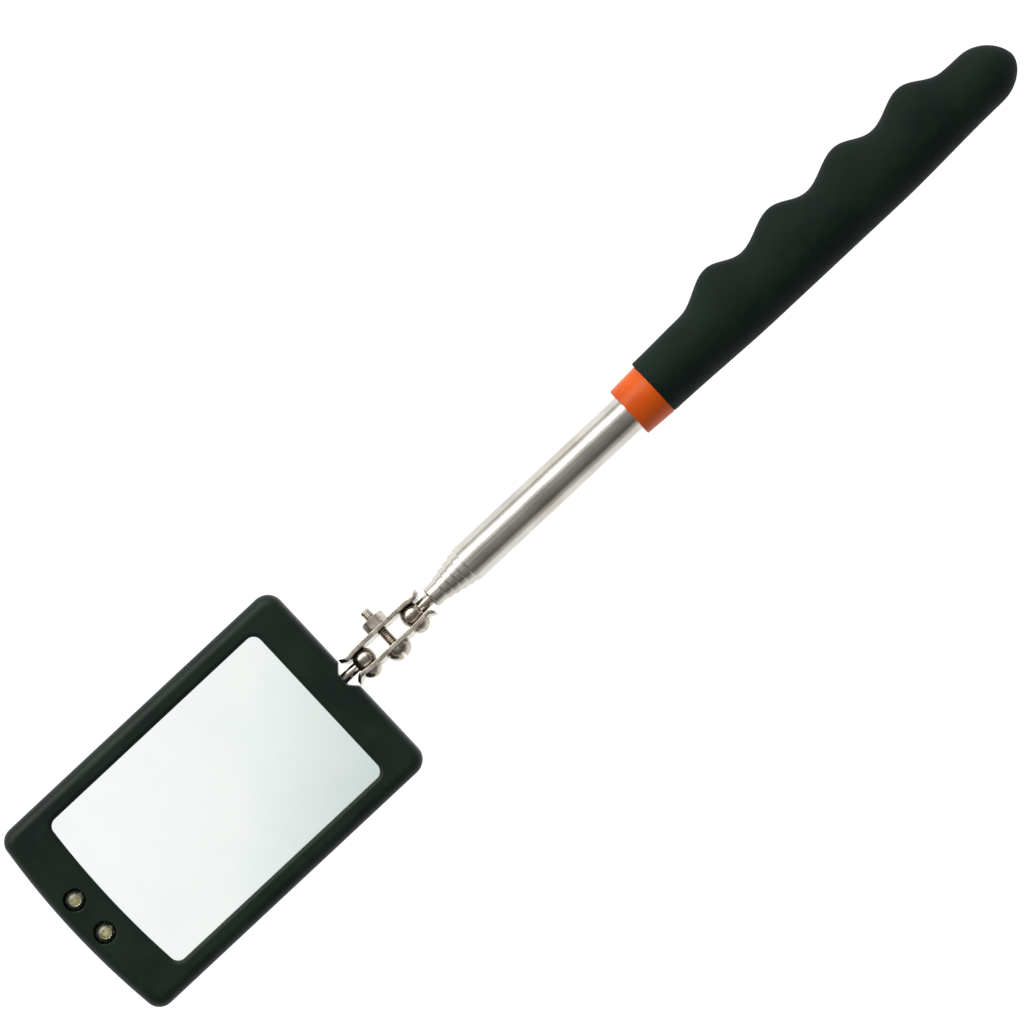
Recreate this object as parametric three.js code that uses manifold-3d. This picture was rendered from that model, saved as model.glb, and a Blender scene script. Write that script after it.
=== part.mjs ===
// Telescoping inspection mirror: a lit rectangular mirror on a double ball link
// and a six-section telescopic handle.
// Millimetres, +Z up. The handle's axis runs along +X, from the mirror's lit end to the grip's end.
// The mirror lies on its back and faces +Z.
// The origin is under the middle of the whole part, on the resting plane.
import * as THREE from "three";
import { mergeVertices } from "three/addons/utils/BufferGeometryUtils.js";
import Module from "manifold-3d";

const wasm = await Module();
wasm.setup();

// ---- Driving dimensions ---------------------------------------------------------------------

const overallLength = 292.6;
const axisHeight = 7.6; // handle axis above the resting plane
const roundFacets = 20; // facets around the tubes and studs

const head = {
  tipX: -overallLength / 2, // crown of the bowed lit end
  length: 85.7,
  halfWidth: 26.9,
  thickness: 13.4,
  partingHeight: 7.6, // the two shells meet at the height of the stud
  partingGap: 0.2,
  cornerRadius: 3.8,
  bow: 1.4,
  frontRound: 2.8,
  backRound: 2,
  wall: 1.6,
  rearWall: 4,
  grooveDepth: 0.35, // shadow line along the parting
  grooveHeight: 0.4,
};
head.rearX = head.tipX + head.length;

const mirrorWindow = {
  tipX: head.tipX + 11.4,
  rearX: head.rearX - 9.2,
  halfWidth: 21.6,
  cornerRadius: 2.2,
  bow: 0.9,
  lipRound: 1.1,
  lipThickness: 1.4,
};

const glass = { margin: 1.1, thickness: 2, gap: 0.1, chamfer: 0.25, sideGap: 0.2 };
const backing = { margin: 2.5, thickness: 0.9 };

const led = {
  x: head.tipX + 5.25,
  pitch: 10.1,
  radius: 2.5,
  holeRadius: 2.73,
  holeChamfer: 0.35,
  flangeRadius: 2.9,
  flangeHeight: 1,
  baseHeight: 4.8,
  topHeight: 13.3,
};
const board = { x: led.x + 0.5, length: 30, width: 5.6, thickness: 1 };

const cell = { radius: 10, height: 3.2, rim: 1, step: 0.3, x: head.tipX + 21.8, lowest: 1.8, gap: 0.06 };
const cellWell = { radius: 10.2, wall: 1.1 };
const upperStrip = { halfLength: 8, crown: 3, rise: 0.1, thickness: 0.25, halfWidth: 2.4 };
const sideStrip = { thickness: 0.3, halfWidth: 1.2, bottom: 4.8, top: 7.6 };

const door = {
  rearX: head.tipX + 33.4,
  halfWidth: 11.6,
  tongue: 1,
  skin: 0.8,
  depth: 1.6,
  gap: 0.15,
  recess: 0.1,
  grooves: 5,
  grooveWidth: 0.8,
  groovePitch: 1.8,
  grooveTop: 0.55,
  grooveHalfLength: 5,
};

const knobSwitch = {
  x: head.rearX - 19.5,
  bodyLength: 8.6,
  bodyWidth: 4,
  bodyHeight: 3.6,
  travel: 2.4,
  knobLength: 3,
  knobWidth: 2.2,
  recessLength: 13,
  recessWidth: 7.4,
  recessDepth: 1.2,
  recessFlare: 0.6,
  slotHalfLength: 3.2,
  slotHalfWidth: 1.3,
};

const caseScrew = {
  headRadius: 1.9,
  headHeight: 1.3,
  crossLength: 1.3,
  crossWidth: 0.25,
  crossDepth: 0.7,
  shankRadius: 0.9,
  tipHeight: 10.6,
  sunk: 1.9,
};
const screwPost = { frontRadius: 2.1, rearRadius: 2.5, pilotTop: 11 };
const floorThickness = 2.2;

const ball = { radius: 2.75, seatGap: 0.2 };
const frontBallX = head.rearX + 4.9;
const rearBallX = frontBallX + 14.8;
const clampX = (frontBallX + rearBallX) / 2;
const linkTilt = THREE.MathUtils.degToRad(-8); // the link is stored turned a little about the handle's axis

const plate = {
  innerFace: 2.15,
  thickness: 1.1,
  halfLength: 11.9,
  halfHeight: 3.2,
  endRadius: 2.4,
  pinch: 0.35, // the plates close in beyond the balls, then flare at the lips
  lipLength: 1.5,
  lipRise: 1.05,
  domeRadius: 2.55,
  domeRise: 1.55,
  seatHoleRadius: 1.3,
};

const clampScrew = {
  radius: 1.2,
  headRadius: 3.15,
  headHeight: 2.8,
  slotWidth: 0.7,
  slotDepth: 1.1,
  endY: 8.3,
  clearance: 0.12,
};
const clampNut = { acrossFlats: 5, height: 2.5 };

const notch = { mouth: 7.4, root: 3.4, depth: 1.8 };
const frontStud = { neckRadius: 1.2, innerX: head.rearX - 6.7, clearance: 0.25 };
const frontNut = {
  acrossFlats: 4.6,
  height: 1.9,
  gap: 0.3,
  pocketLength: 3.8,
  pocketHalfWidth: 3.2,
  pocketTop: 11,
};
const rearStud = {
  neckRadius: 1.45,
  shankRadius: 2.28,
  shankLength: 9,
  shoulderDepth: 1.2,
  clearance: 0.12,
};

const tubeCount = 6;
const tube = {
  outerRadius: 4.7,
  step: 0.4, // difference in outer radius from one section to the next
  wall: 0.3,
  firstTipX: -24.5,
  tipPitch: 1.9,
  firstTailX: 137.5,
  tailPitch: 2,
  tipRound: 1.3,
  grooveLength: 8,
  grooveDepth: 0.2,
  tailLand: 2.5,
  lastTipWall: 0.75, // the last tube is rolled in at its tip to hold the stud
  lastLipLength: 1.1,
};
const sleeve = { innerGap: 0.06, outerGap: 0.015, endGap: 0.2, splitAngle: 0.35 };
const lastTipX = rearBallX + 5.6;

const collar = { startX: 26.7, endX: 34.5, radius: 6.8, edgeRound: 0.5, boreGap: 0.1 };

const grip = {
  startX: 34.6,
  endX: overallLength / 2,
  noseStartX: 137.6,
  boreEndX: 139.4,
  firstPeakX: 61.3,
  fingerPitch: 20.3,
  fingers: 4,
  riseLength: 11.45, // from a hollow up to the next ridge, going away from the mirror
  fallLength: 8.85,
  ridgeHeight: 3.3,
  nosePower: 1.8,
  boreGap: 0.1,
  facets: 22,
  slices: 42,
};

// ---- Finishes -------------------------------------------------------------------------------

const finish = {
  casing: { color: 0x16211e, roughness: 0.48, metalness: 0 },
  rubber: { color: 0x101816, roughness: 0.85, metalness: 0 },
  collarPlastic: { color: 0xe8641f, roughness: 0.35, metalness: 0 },
  plated: { color: 0xb9b3a8, roughness: 0.22, metalness: 1 },
  silvered: { color: 0xf2fbf8, roughness: 0.03, metalness: 1 },
  lens: { color: 0xe9ecd2, roughness: 0.08, metalness: 0 },
  bronze: { color: 0xa9773c, roughness: 0.4, metalness: 1 },
  backing: { color: 0x3a3d3e, roughness: 0.7, metalness: 0 },
  circuit: { color: 0x1e5a36, roughness: 0.5, metalness: 0 },
  cellSteel: { color: 0xc6c8c9, roughness: 0.3, metalness: 1 },
  knobPlastic: { color: 0x24292a, roughness: 0.6, metalness: 0 },
};

// ---- Shape helpers --------------------------------------------------------------------------

// A closed geometry as a solid that can be joined and cut. Faces that point in are turned out.
function toSolid(geometry) {
  const bare = geometry.clone();
  bare.deleteAttribute("normal");
  bare.deleteAttribute("uv");
  const merged = mergeVertices(bare, 1e-4);
  const build = () =>
    new wasm.Manifold(
      new wasm.Mesh({
        numProp: 3,
        vertProperties: new Float32Array(merged.attributes.position.array),
        triVerts: new Uint32Array(merged.index.array),
      }),
    );
  const solid = build();
  if (solid.volume() >= 0) return solid;
  const corners = merged.index.array;
  for (let i = 0; i < corners.length; i += 3) {
    [corners[i + 1], corners[i + 2]] = [corners[i + 2], corners[i + 1]];
  }
  return build();
}

function toGeometry(solid) {
  const mesh = solid.getMesh();
  const geometry = new THREE.BufferGeometry();
  geometry.setAttribute("position", new THREE.BufferAttribute(new Float32Array(mesh.vertProperties), 3));
  geometry.setIndex(new THREE.BufferAttribute(new Uint32Array(mesh.triVerts), 1));
  return geometry;
}

// Joins every piece in added, then cuts away every piece in removed.
function shape(added, removed = []) {
  let solid = toSolid(added[0]);
  for (const piece of added.slice(1)) solid = solid.add(toSolid(piece));
  for (const piece of removed) solid = solid.subtract(toSolid(piece));
  return toGeometry(solid);
}

function common(first, second) {
  return toGeometry(toSolid(first).intersect(toSolid(second)));
}

// A closed skin over anticlockwise outlines that have the same number of points.
// place(point, level) sets each outline's points in space.
function loft(outlines, place) {
  const count = outlines[0].length;
  const placed = outlines.map((outline, level) => outline.map((point) => place(point, level).toArray()));
  const faces = [];
  for (let level = 0; level < outlines.length - 1; level++) {
    for (let i = 0; i < count; i++) {
      const here = level * count + i;
      const next = level * count + ((i + 1) % count);
      faces.push(here, next, next + count, here, next + count, here + count);
    }
  }
  const last = (outlines.length - 1) * count;
  const firstCap = THREE.ShapeUtils.triangulateShape(outlines[0], []);
  const lastCap = THREE.ShapeUtils.triangulateShape(outlines.at(-1), []);
  for (const [a, b, c] of firstCap) faces.push(a, c, b);
  for (const [a, b, c] of lastCap) faces.push(last + a, last + b, last + c);
  const geometry = new THREE.BufferGeometry();
  geometry.setAttribute("position", new THREE.Float32BufferAttribute(placed.flat(2), 3));
  geometry.setIndex(faces);
  return geometry;
}

// A body of revolution about Y. Each profile point is [position along Y, radius], in either order.
function turnedAcross(profile, facets = 24) {
  const points = profile.map(([y, radius]) => new THREE.Vector2(radius, y));
  if (THREE.ShapeUtils.area(points) < 0) points.reverse();
  return new THREE.LatheGeometry(points, facets);
}

// The same about the handle's axis. Each profile point is [position along X, radius].
function turned(profile, facets = roundFacets) {
  return turnedAcross(profile, facets).rotateZ(-Math.PI / 2).translate(0, 0, axisHeight);
}

// The same about a vertical axis at x, y. Each profile point is [radius, height].
function turnedUp(x, y, profile, facets = 20) {
  const risen = profile.map(([radius, z]) => [z, radius]);
  return turnedAcross(risen, facets).rotateX(Math.PI / 2).translate(x, y, 0);
}

function post(x, y, radius, bottom, top, facets = 20) {
  return turnedUp(x, y, [[0, bottom], [radius, bottom], [radius, top], [0, top]], facets);
}

function block(x0, x1, y0, y1, z0, z1) {
  const box = new THREE.BoxGeometry(x1 - x0, y1 - y0, z1 - z0);
  return box.translate((x0 + x1) / 2, (y0 + y1) / 2, (z0 + z1) / 2);
}

// A rectangle with rounded corners whose lit end is bowed, drawn inwards by inset.
function plateOutline({ tipX, rearX, halfWidth, cornerRadius, bow }, inset = 0) {
  const radius = Math.max(cornerRadius - inset, 0.4);
  const half = halfWidth - inset;
  const x0 = tipX + inset;
  const x1 = rearX - inset;
  const points = [];
  const corner = (x, y, startAngle) => {
    for (let step = 0; step <= 4; step++) {
      const angle = startAngle + (step / 4) * (Math.PI / 2);
      points.push(new THREE.Vector2(x + radius * Math.cos(angle), y + radius * Math.sin(angle)));
    }
  };
  corner(x1 - radius, -half + radius, -Math.PI / 2);
  corner(x1 - radius, half - radius, 0);
  corner(x0 + bow + radius, half - radius, Math.PI / 2);
  for (let step = 1; step < 8; step++) {
    const across = 1 - step / 4;
    points.push(new THREE.Vector2(x0 + bow * across * across, (half - radius) * across));
  }
  corner(x0 + bow + radius, -half + radius, Math.PI);
  return points;
}

// A slab between heights with plateOutline's outline. Each level is [height, inset].
function slab(outline, levels) {
  const outlines = levels.map(([, inset]) => plateOutline(outline, inset));
  return loft(outlines, (point, level) => new THREE.Vector3(point.x, point.y, levels[level][0]));
}

function hexagon(acrossFlats) {
  const corner = acrossFlats / Math.sqrt(3);
  const outline = new THREE.Shape();
  for (let i = 0; i < 6; i++) {
    const angle = (i * Math.PI) / 3;
    outline[i ? "lineTo" : "moveTo"](corner * Math.cos(angle), corner * Math.sin(angle));
  }
  return outline;
}

// ---- Mirror head ----------------------------------------------------------------------------

const frontFaceUnderside = head.thickness - mirrorWindow.lipThickness;
const glassTop = frontFaceUnderside - glass.gap;
const glassBottom = glassTop - glass.thickness;
const ledYs = [led.pitch / 2, -led.pitch / 2];
const screwPlaces = [
  [head.tipX + 6.6, 20.6],
  [head.tipX + 6.6, -20.6],
  [head.rearX - 6, 21.2],
  [head.rearX - 6, -21.2],
];

// The tapered opening in the handle end that lets the link's plates swing past the shells.
function stemNotch() {
  const outline = new THREE.Shape();
  outline.moveTo(head.rearX + 1, -notch.mouth / 2);
  outline.lineTo(head.rearX + 1, notch.mouth / 2);
  outline.lineTo(head.rearX, notch.mouth / 2);
  outline.lineTo(head.rearX - notch.depth, notch.root / 2);
  outline.lineTo(head.rearX - notch.depth, -notch.root / 2);
  outline.lineTo(head.rearX, -notch.mouth / 2);
  const cut = new THREE.ExtrudeGeometry(outline, { depth: head.thickness + 2, bevelEnabled: false });
  return cut.translate(0, 0, -1);
}

function stemBore() {
  const clear = frontStud.neckRadius + frontStud.clearance;
  const start = frontStud.innerX - 2;
  return turned([[start, 0], [start, clear], [head.rearX, clear], [head.rearX, 0]], 20);
}

// A hole for one lamp through the front face, with a chamfered rim.
function lampHole(y) {
  const rim = led.holeRadius + led.holeChamfer;
  const rimStart = head.thickness - led.holeChamfer;
  const above = head.thickness + 1;
  const profile = [[0, 9], [led.holeRadius, 9], [led.holeRadius, rimStart]];
  profile.push([rim, head.thickness], [rim, above], [0, above]);
  return turnedUp(led.x, y, profile, 18);
}

function frontFrame() {
  const bottom = head.partingHeight + head.partingGap / 2;
  const grooveTop = bottom + head.grooveHeight;
  const levels = [[bottom, head.grooveDepth], [grooveTop, head.grooveDepth], [grooveTop, 0]];
  for (let step = 0; step <= 4; step++) {
    const angle = (step / 4) * (Math.PI / 2);
    const height = head.thickness - head.frontRound * (1 - Math.sin(angle));
    levels.push([height, head.frontRound * (1 - Math.cos(angle))]);
  }
  const opening = [[frontFaceUnderside - 0.5, 0]];
  for (let step = 0; step <= 3; step++) {
    const angle = (step / 3) * (Math.PI / 2);
    const height = head.thickness - mirrorWindow.lipRound * (1 - Math.sin(angle));
    opening.push([height, -mirrorWindow.lipRound * (1 - Math.cos(angle))]);
  }
  opening.push([head.thickness + 0.5, -mirrorWindow.lipRound]);

  const below = bottom - 1;
  const glassSeat = -glass.margin - glass.sideGap;
  const lampSpace = board.width / 2 + 0.85;
  const boardEnd = board.length / 2 + 0.5;
  const nutRear = head.rearX - head.rearWall;
  const { pocketLength, pocketHalfWidth, pocketTop } = frontNut;
  const removed = [
    slab(hollowOutline(), [[below, head.wall], [glassBottom - 0.1, head.wall]]),
    slab(mirrorWindow, [[below, glassSeat], [frontFaceUnderside, glassSeat]]),
    slab(mirrorWindow, opening),
    block(board.x - lampSpace, board.x + lampSpace, -boardEnd, boardEnd, below, frontFaceUnderside),
    block(nutRear - pocketLength, nutRear, -pocketHalfWidth, pocketHalfWidth, below, pocketTop),
    stemNotch(),
    stemBore(),
    ...ledYs.map(lampHole),
  ];
  const { frontRadius, pilotTop } = screwPost;
  const pilotRadius = caseScrew.shankRadius + 0.1;
  const posts = screwPlaces.map(([x, y]) => post(x, y, frontRadius, bottom, frontFaceUnderside + 0.2, 14));
  const holes = screwPlaces.map(([x, y]) => post(x, y, pilotRadius, below, pilotTop, 10));
  return shape([shape([slab(head, levels)], removed), ...posts], holes);
}

// The head's outline with more material left at the handle end, where the stud passes through.
function hollowOutline() {
  return { ...head, rearX: head.rearX - head.rearWall + head.wall };
}

// The rear half's outside: a rounded back that rises to a flat top.
function rearShell(top) {
  const levels = [];
  for (let step = 0; step <= 4; step++) {
    const angle = (step / 4) * (Math.PI / 2);
    levels.push([head.backRound * (1 - Math.cos(angle)), head.backRound * (1 - Math.sin(angle))]);
  }
  levels.push([top, 0]);
  return slab(head, levels);
}

// The space the battery door slides in, or, with a gap, the door that fits it.
function doorSpace(gap) {
  const half = door.halfWidth - gap;
  const tongueHalf = half + door.tongue;
  const start = head.tipX - 1;
  const end = door.rearX - gap;
  const top = door.depth - gap;
  return [
    block(start, end, -half, half, gap ? door.recess : -1, top),
    block(start, end, -tongueHalf, tongueHalf, door.skin + gap, top),
  ];
}

function rearCover() {
  const top = head.partingHeight - head.partingGap / 2;
  const cavity = slab(hollowOutline(), [[floorThickness, head.wall], [top + 1, head.wall]]);
  const wellTop = cell.lowest + 2 * cell.height;
  const additions = [
    post(cell.x, 0, cellWell.radius + cellWell.wall, 1, wellTop, 26),
    ...screwPlaces.map(([x, y]) => post(x, y, screwPost.rearRadius, 1, top, 14)),
  ];
  const { slotHalfLength, slotHalfWidth } = knobSwitch;
  const slotStart = knobSwitch.x - slotHalfLength;
  const slotEnd = knobSwitch.x + slotHalfLength;
  const stripX = cell.x - cellWell.radius;
  const stripHalf = sideStrip.halfWidth + 0.3;
  const removals = [
    ...doorSpace(0),
    post(cell.x, 0, cellWell.radius, -1, wellTop + 2, 26),
    roundedRecess(),
    block(slotStart, slotEnd, -slotHalfWidth, slotHalfWidth, 0, floorThickness + 1),
    stemNotch(),
    stemBore(),
    block(stripX - 3.8, stripX + 1.2, -stripHalf, stripHalf, sideStrip.bottom - 0.2, wellTop + 2),
  ];
  for (const [x, y] of screwPlaces) {
    removals.push(post(x, y, caseScrew.headRadius + 0.3, -1, caseScrew.sunk, 16));
    removals.push(post(x, y, caseScrew.shankRadius + 0.25, -1, top + 1, 10));
  }
  return shape([shape([rearShell(top)], [cavity]), ...additions], removals);
}

// The shallow thumb dish around the switch: its floor is flat and its sides slope.
function roundedRecess() {
  const { x, recessLength, recessWidth, recessDepth, recessFlare } = knobSwitch;
  const halfLength = recessLength / 2;
  const ends = { tipX: x - halfLength, rearX: x + halfLength };
  const outline = { ...ends, halfWidth: recessWidth / 2, cornerRadius: 2, bow: 0 };
  return slab(outline, [[-0.5, -recessFlare], [0, -recessFlare], [recessDepth, 0]]);
}

function batteryDoor() {
  const { grooves, grooveWidth, groovePitch, grooveTop, grooveHalfLength, gap, depth } = door;
  const cuts = [];
  for (let i = 0; i < grooves; i++) {
    const x = door.rearX - 6 - i * groovePitch;
    cuts.push(block(x, x + grooveWidth, -grooveHalfLength, grooveHalfLength, -1, grooveTop));
  }
  return shape([common(shape(doorSpace(gap)), rearShell(depth))], cuts);
}

function mirrorGlass() {
  const edge = -glass.margin;
  return slab(mirrorWindow, [
    [glassBottom, edge],
    [glassTop - glass.chamfer, edge],
    [glassTop, edge + glass.chamfer],
  ]);
}

function mirrorBacking() {
  const top = glassBottom - 0.1;
  return slab(mirrorWindow, [[top - backing.thickness, backing.margin], [top, backing.margin]]);
}

function ledLamp(y) {
  const flangeTop = led.baseHeight + led.flangeHeight;
  const domeStart = led.topHeight - led.radius;
  const profile = [[0, led.baseHeight], [led.flangeRadius, led.baseHeight]];
  profile.push([led.flangeRadius, flangeTop], [led.radius, flangeTop]);
  for (let step = 0; step < 4; step++) {
    const angle = (step / 4) * (Math.PI / 2);
    profile.push([led.radius * Math.cos(angle), domeStart + led.radius * Math.sin(angle)]);
  }
  profile.push([0, led.topHeight]);
  return turnedUp(led.x, y, profile, 16);
}

function ledBoard() {
  const { x, width, length, thickness } = board;
  const top = led.baseHeight - 0.1;
  return block(x - width / 2, x + width / 2, -length / 2, length / 2, top - thickness, top);
}

// One button cell: its lower face is the stepped negative cap.
function coinCell(bottom) {
  const { radius, height, rim, step } = cell;
  const capRadius = radius - rim;
  const profile = [[0, bottom], [capRadius - 0.2, bottom], [capRadius, bottom + step]];
  profile.push([radius, bottom + step], [radius, bottom + height], [0, bottom + height]);
  return turnedUp(cell.x, 0, profile, 24);
}

// A thin strip bent to the side profile given as [x, z] points and given a width along Y.
function bentStrip(points, thickness, halfWidth) {
  const outline = new THREE.Shape();
  points.forEach(([x, z], i) => outline[i ? "lineTo" : "moveTo"](x, z));
  [...points].reverse().forEach(([x, z]) => outline.lineTo(x, z + thickness));
  return new THREE.ExtrudeGeometry(outline, { depth: 2 * halfWidth, bevelEnabled: false })
    .rotateX(Math.PI / 2)
    .translate(0, halfWidth, 0);
}

function upperContact() {
  const { halfLength, crown, rise, thickness, halfWidth } = upperStrip;
  const z = cell.lowest + 2 * cell.height + cell.gap + 0.1;
  const points = [
    [cell.x - halfLength, z + rise],
    [cell.x - crown, z + rise],
    [cell.x, z],
    [cell.x + crown, z + rise],
    [cell.x + halfLength, z + rise],
  ];
  return bentStrip(points, thickness, halfWidth);
}

function sideContact() {
  const { thickness, halfWidth, bottom, top } = sideStrip;
  const x = cell.x - cellWell.radius - 0.85;
  return block(x, x + thickness, -halfWidth, halfWidth, bottom, top);
}

function switchBody() {
  const { x, bodyLength, bodyWidth, bodyHeight, slotHalfLength, slotHalfWidth } = knobSwitch;
  const bottom = floorThickness + 0.1;
  const halfLength = bodyLength / 2;
  const halfWidth = bodyWidth / 2;
  const track = slotHalfLength - 0.3;
  const can = block(x - halfLength, x + halfLength, -halfWidth, halfWidth, bottom, bottom + bodyHeight);
  return shape([can], [block(x - track, x + track, -slotHalfWidth, slotHalfWidth, 0, bottom + 1.6)]);
}

// The sliding knob, drawn at the lamp-off end of its travel, with three thumb teeth.
function switchKnob() {
  const { x, knobLength, knobWidth, travel } = knobSwitch;
  const middle = x - travel / 2;
  const halfLength = knobLength / 2;
  const half = knobWidth / 2;
  const stem = block(middle - halfLength, middle + halfLength, -half, half, 0.3, floorThickness + 1.4);
  const teeth = [-1, 0, 1].map((i) => {
    return block(middle + i - 0.25, middle + i + 0.25, -half - 1, half + 1, 0, 0.65);
  });
  return shape([stem], teeth);
}

function screwSolid(x, y) {
  const { headRadius, headHeight, crossLength, crossWidth, crossDepth } = caseScrew;
  const { shankRadius, tipHeight, sunk } = caseScrew;
  const under = sunk - 0.1;
  const bottom = under - headHeight;
  const profile = [[0, bottom], [headRadius - 0.5, bottom], [headRadius, bottom + 0.5]];
  profile.push([headRadius, under], [shankRadius, under], [shankRadius, tipHeight - 1.2], [0, tipHeight]);
  const arm = block(-crossLength, crossLength, -crossWidth, crossWidth, bottom - 1, bottom + crossDepth);
  const cross = [arm.clone(), arm.rotateZ(Math.PI / 2)].map((cut) => cut.translate(x, y, 0));
  return shape([turnedUp(x, y, profile, 12)], cross);
}

// ---- Double ball link -----------------------------------------------------------------------

// Profile of a ball, from its far pole to where a neck on the +side or -side of X leaves it.
function ballProfile(centreX, side, neckRadius) {
  const steps = 9;
  const last = Math.PI - Math.asin(neckRadius / ball.radius);
  const points = [];
  for (let step = 0; step <= steps; step++) {
    const angle = (step / steps) * last;
    points.push([centreX - side * ball.radius * Math.cos(angle), ball.radius * Math.sin(angle)]);
  }
  return points;
}

function frontBallStud() {
  const { neckRadius, innerX } = frontStud;
  const profile = ballProfile(frontBallX, -1, neckRadius);
  profile.push([innerX + 0.3, neckRadius], [innerX, neckRadius - 0.3], [innerX, 0]);
  return turned(profile);
}

function rearBallStud() {
  const { neckRadius, shankRadius, shankLength, shoulderDepth } = rearStud;
  const shoulder = lastTipX + shoulderDepth;
  const profile = ballProfile(rearBallX, 1, neckRadius);
  profile.push([shoulder, neckRadius], [shoulder, shankRadius]);
  profile.push([shoulder + shankLength, shankRadius], [shoulder + shankLength, 0]);
  return turned(profile);
}

function hexNut(acrossFlats, height) {
  return new THREE.ExtrudeGeometry(hexagon(acrossFlats), { depth: height, bevelEnabled: false });
}

// The nut inside the head that holds the front stud.
function stemNut() {
  const { acrossFlats, height, gap } = frontNut;
  const rear = head.rearX - head.rearWall - gap;
  const bore = frontStud.neckRadius + 0.1;
  const nut = hexNut(acrossFlats, height).rotateY(Math.PI / 2).translate(rear - height, 0, axisHeight);
  return shape([nut], [turned([[rear - 5, 0], [rear - 5, bore], [rear + 1, bore], [rear + 1, 0]], 14)]);
}

// The link's pieces are made about their own middle, with the balls along X and the clamp screw along Y.
const ballOffset = (rearBallX - frontBallX) / 2;

function roundHole(radius, facets) {
  return turnedAcross([[0, 0], [0, radius], [9, radius], [9, 0]], facets);
}

// The plate's rounded blank, seen from its side.
function plateBlank() {
  const { halfLength, halfHeight, endRadius } = plate;
  const right = halfLength - endRadius;
  const low = halfHeight - endRadius;
  const plan = new THREE.Shape();
  plan.absarc(right, -low, endRadius, -Math.PI / 2, 0);
  plan.absarc(right, low, endRadius, 0, Math.PI / 2);
  plan.absarc(-right, low, endRadius, Math.PI / 2, Math.PI);
  plan.absarc(-right, -low, endRadius, Math.PI, Math.PI * 1.5);
  const blank = new THREE.ExtrudeGeometry(plan, { depth: 8, bevelEnabled: false, curveSegments: 4 });
  return blank.rotateX(-Math.PI / 2);
}

// The strip the blank is pressed from: flat between the balls, pinched in beyond them, flared at its lips.
function pressedStrip() {
  const { innerFace, thickness, halfLength, halfHeight, pinch, lipLength, lipRise } = plate;
  const lipStart = halfLength - lipLength;
  const inner = [
    [-halfLength, innerFace - pinch + lipRise],
    [-lipStart, innerFace - pinch],
    [-ballOffset, innerFace],
    [ballOffset, innerFace],
    [lipStart, innerFace - pinch],
    [halfLength, innerFace - pinch + lipRise],
  ];
  const strip = new THREE.Shape();
  inner.forEach(([x, y], i) => strip[i ? "lineTo" : "moveTo"](x, y));
  [...inner].reverse().forEach(([x, y]) => strip.lineTo(x, y + thickness));
  const band = new THREE.ExtrudeGeometry(strip, { depth: 2 * halfHeight, bevelEnabled: false });
  return band.translate(0, 0, -halfHeight);
}

// One stamped clamp plate on the +Y or -Y side.
// The domed one has its ball seats pressed out, the other has them pierced.
function clampPlate(side, domed) {
  const { innerFace, thickness, domeRadius, domeRise, seatHoleRadius } = plate;
  const domeCentre = innerFace + thickness + domeRise - domeRadius;
  const domes = [];
  const cuts = [roundHole(clampScrew.radius + clampScrew.clearance, 14)];
  for (const x of [-ballOffset, ballOffset]) {
    const dome = new THREE.SphereGeometry(domeRadius, 16, 12).translate(x, domeCentre, 0);
    if (domed) domes.push(common(dome, beyond(innerFace + 0.3)));
    else cuts.push(roundHole(seatHoleRadius, 16).translate(x, 0, 0));
    cuts.push(new THREE.SphereGeometry(ball.radius + ball.seatGap, 18, 12).translate(x, 0, 0));
  }
  const made = shape([common(pressedStrip(), plateBlank()), ...domes], cuts);
  return side > 0 ? made : made.rotateX(Math.PI);
}

// Everything further than distance from the link's middle plane, on the +Y side.
function beyond(distance) {
  return block(-30, 30, distance, distance + 20, -20, 20);
}

function clampScrewSolid() {
  const { radius, headRadius, headHeight, slotWidth, slotDepth, endY } = clampScrew;
  const seat = -(plate.innerFace + plate.thickness) - 0.1;
  const top = seat - headHeight;
  const profile = [[top, 0]];
  for (let step = 1; step <= 6; step++) {
    const angle = (step / 6) * (Math.PI / 2);
    profile.push([seat - headHeight * Math.cos(angle), headRadius * Math.sin(angle)]);
  }
  profile.push([seat, radius], [endY - 0.4, radius], [endY, radius - 0.4], [endY, 0]);
  const slot = block(-slotWidth / 2, slotWidth / 2, top - 1, top + slotDepth, -5, 5);
  return shape([turnedAcross(profile, 22)], [slot]);
}

function clampNutSolid() {
  const seat = plate.innerFace + plate.thickness + 0.1;
  const nut = hexNut(clampNut.acrossFlats, clampNut.height).rotateX(-Math.PI / 2).translate(0, seat, 0);
  return shape([nut], [roundHole(clampScrew.radius + 0.1, 14)]);
}

// ---- Telescopic handle ----------------------------------------------------------------------

function section(number) {
  const outer = tube.outerRadius - (number - 1) * tube.step;
  const tipX = number === tubeCount ? lastTipX : tube.firstTipX - (number - 1) * tube.tipPitch;
  const tailX = tube.firstTailX - (number - 1) * tube.tailPitch;
  return { number, outer, inner: outer - tube.wall, tipX, tailX };
}

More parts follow.
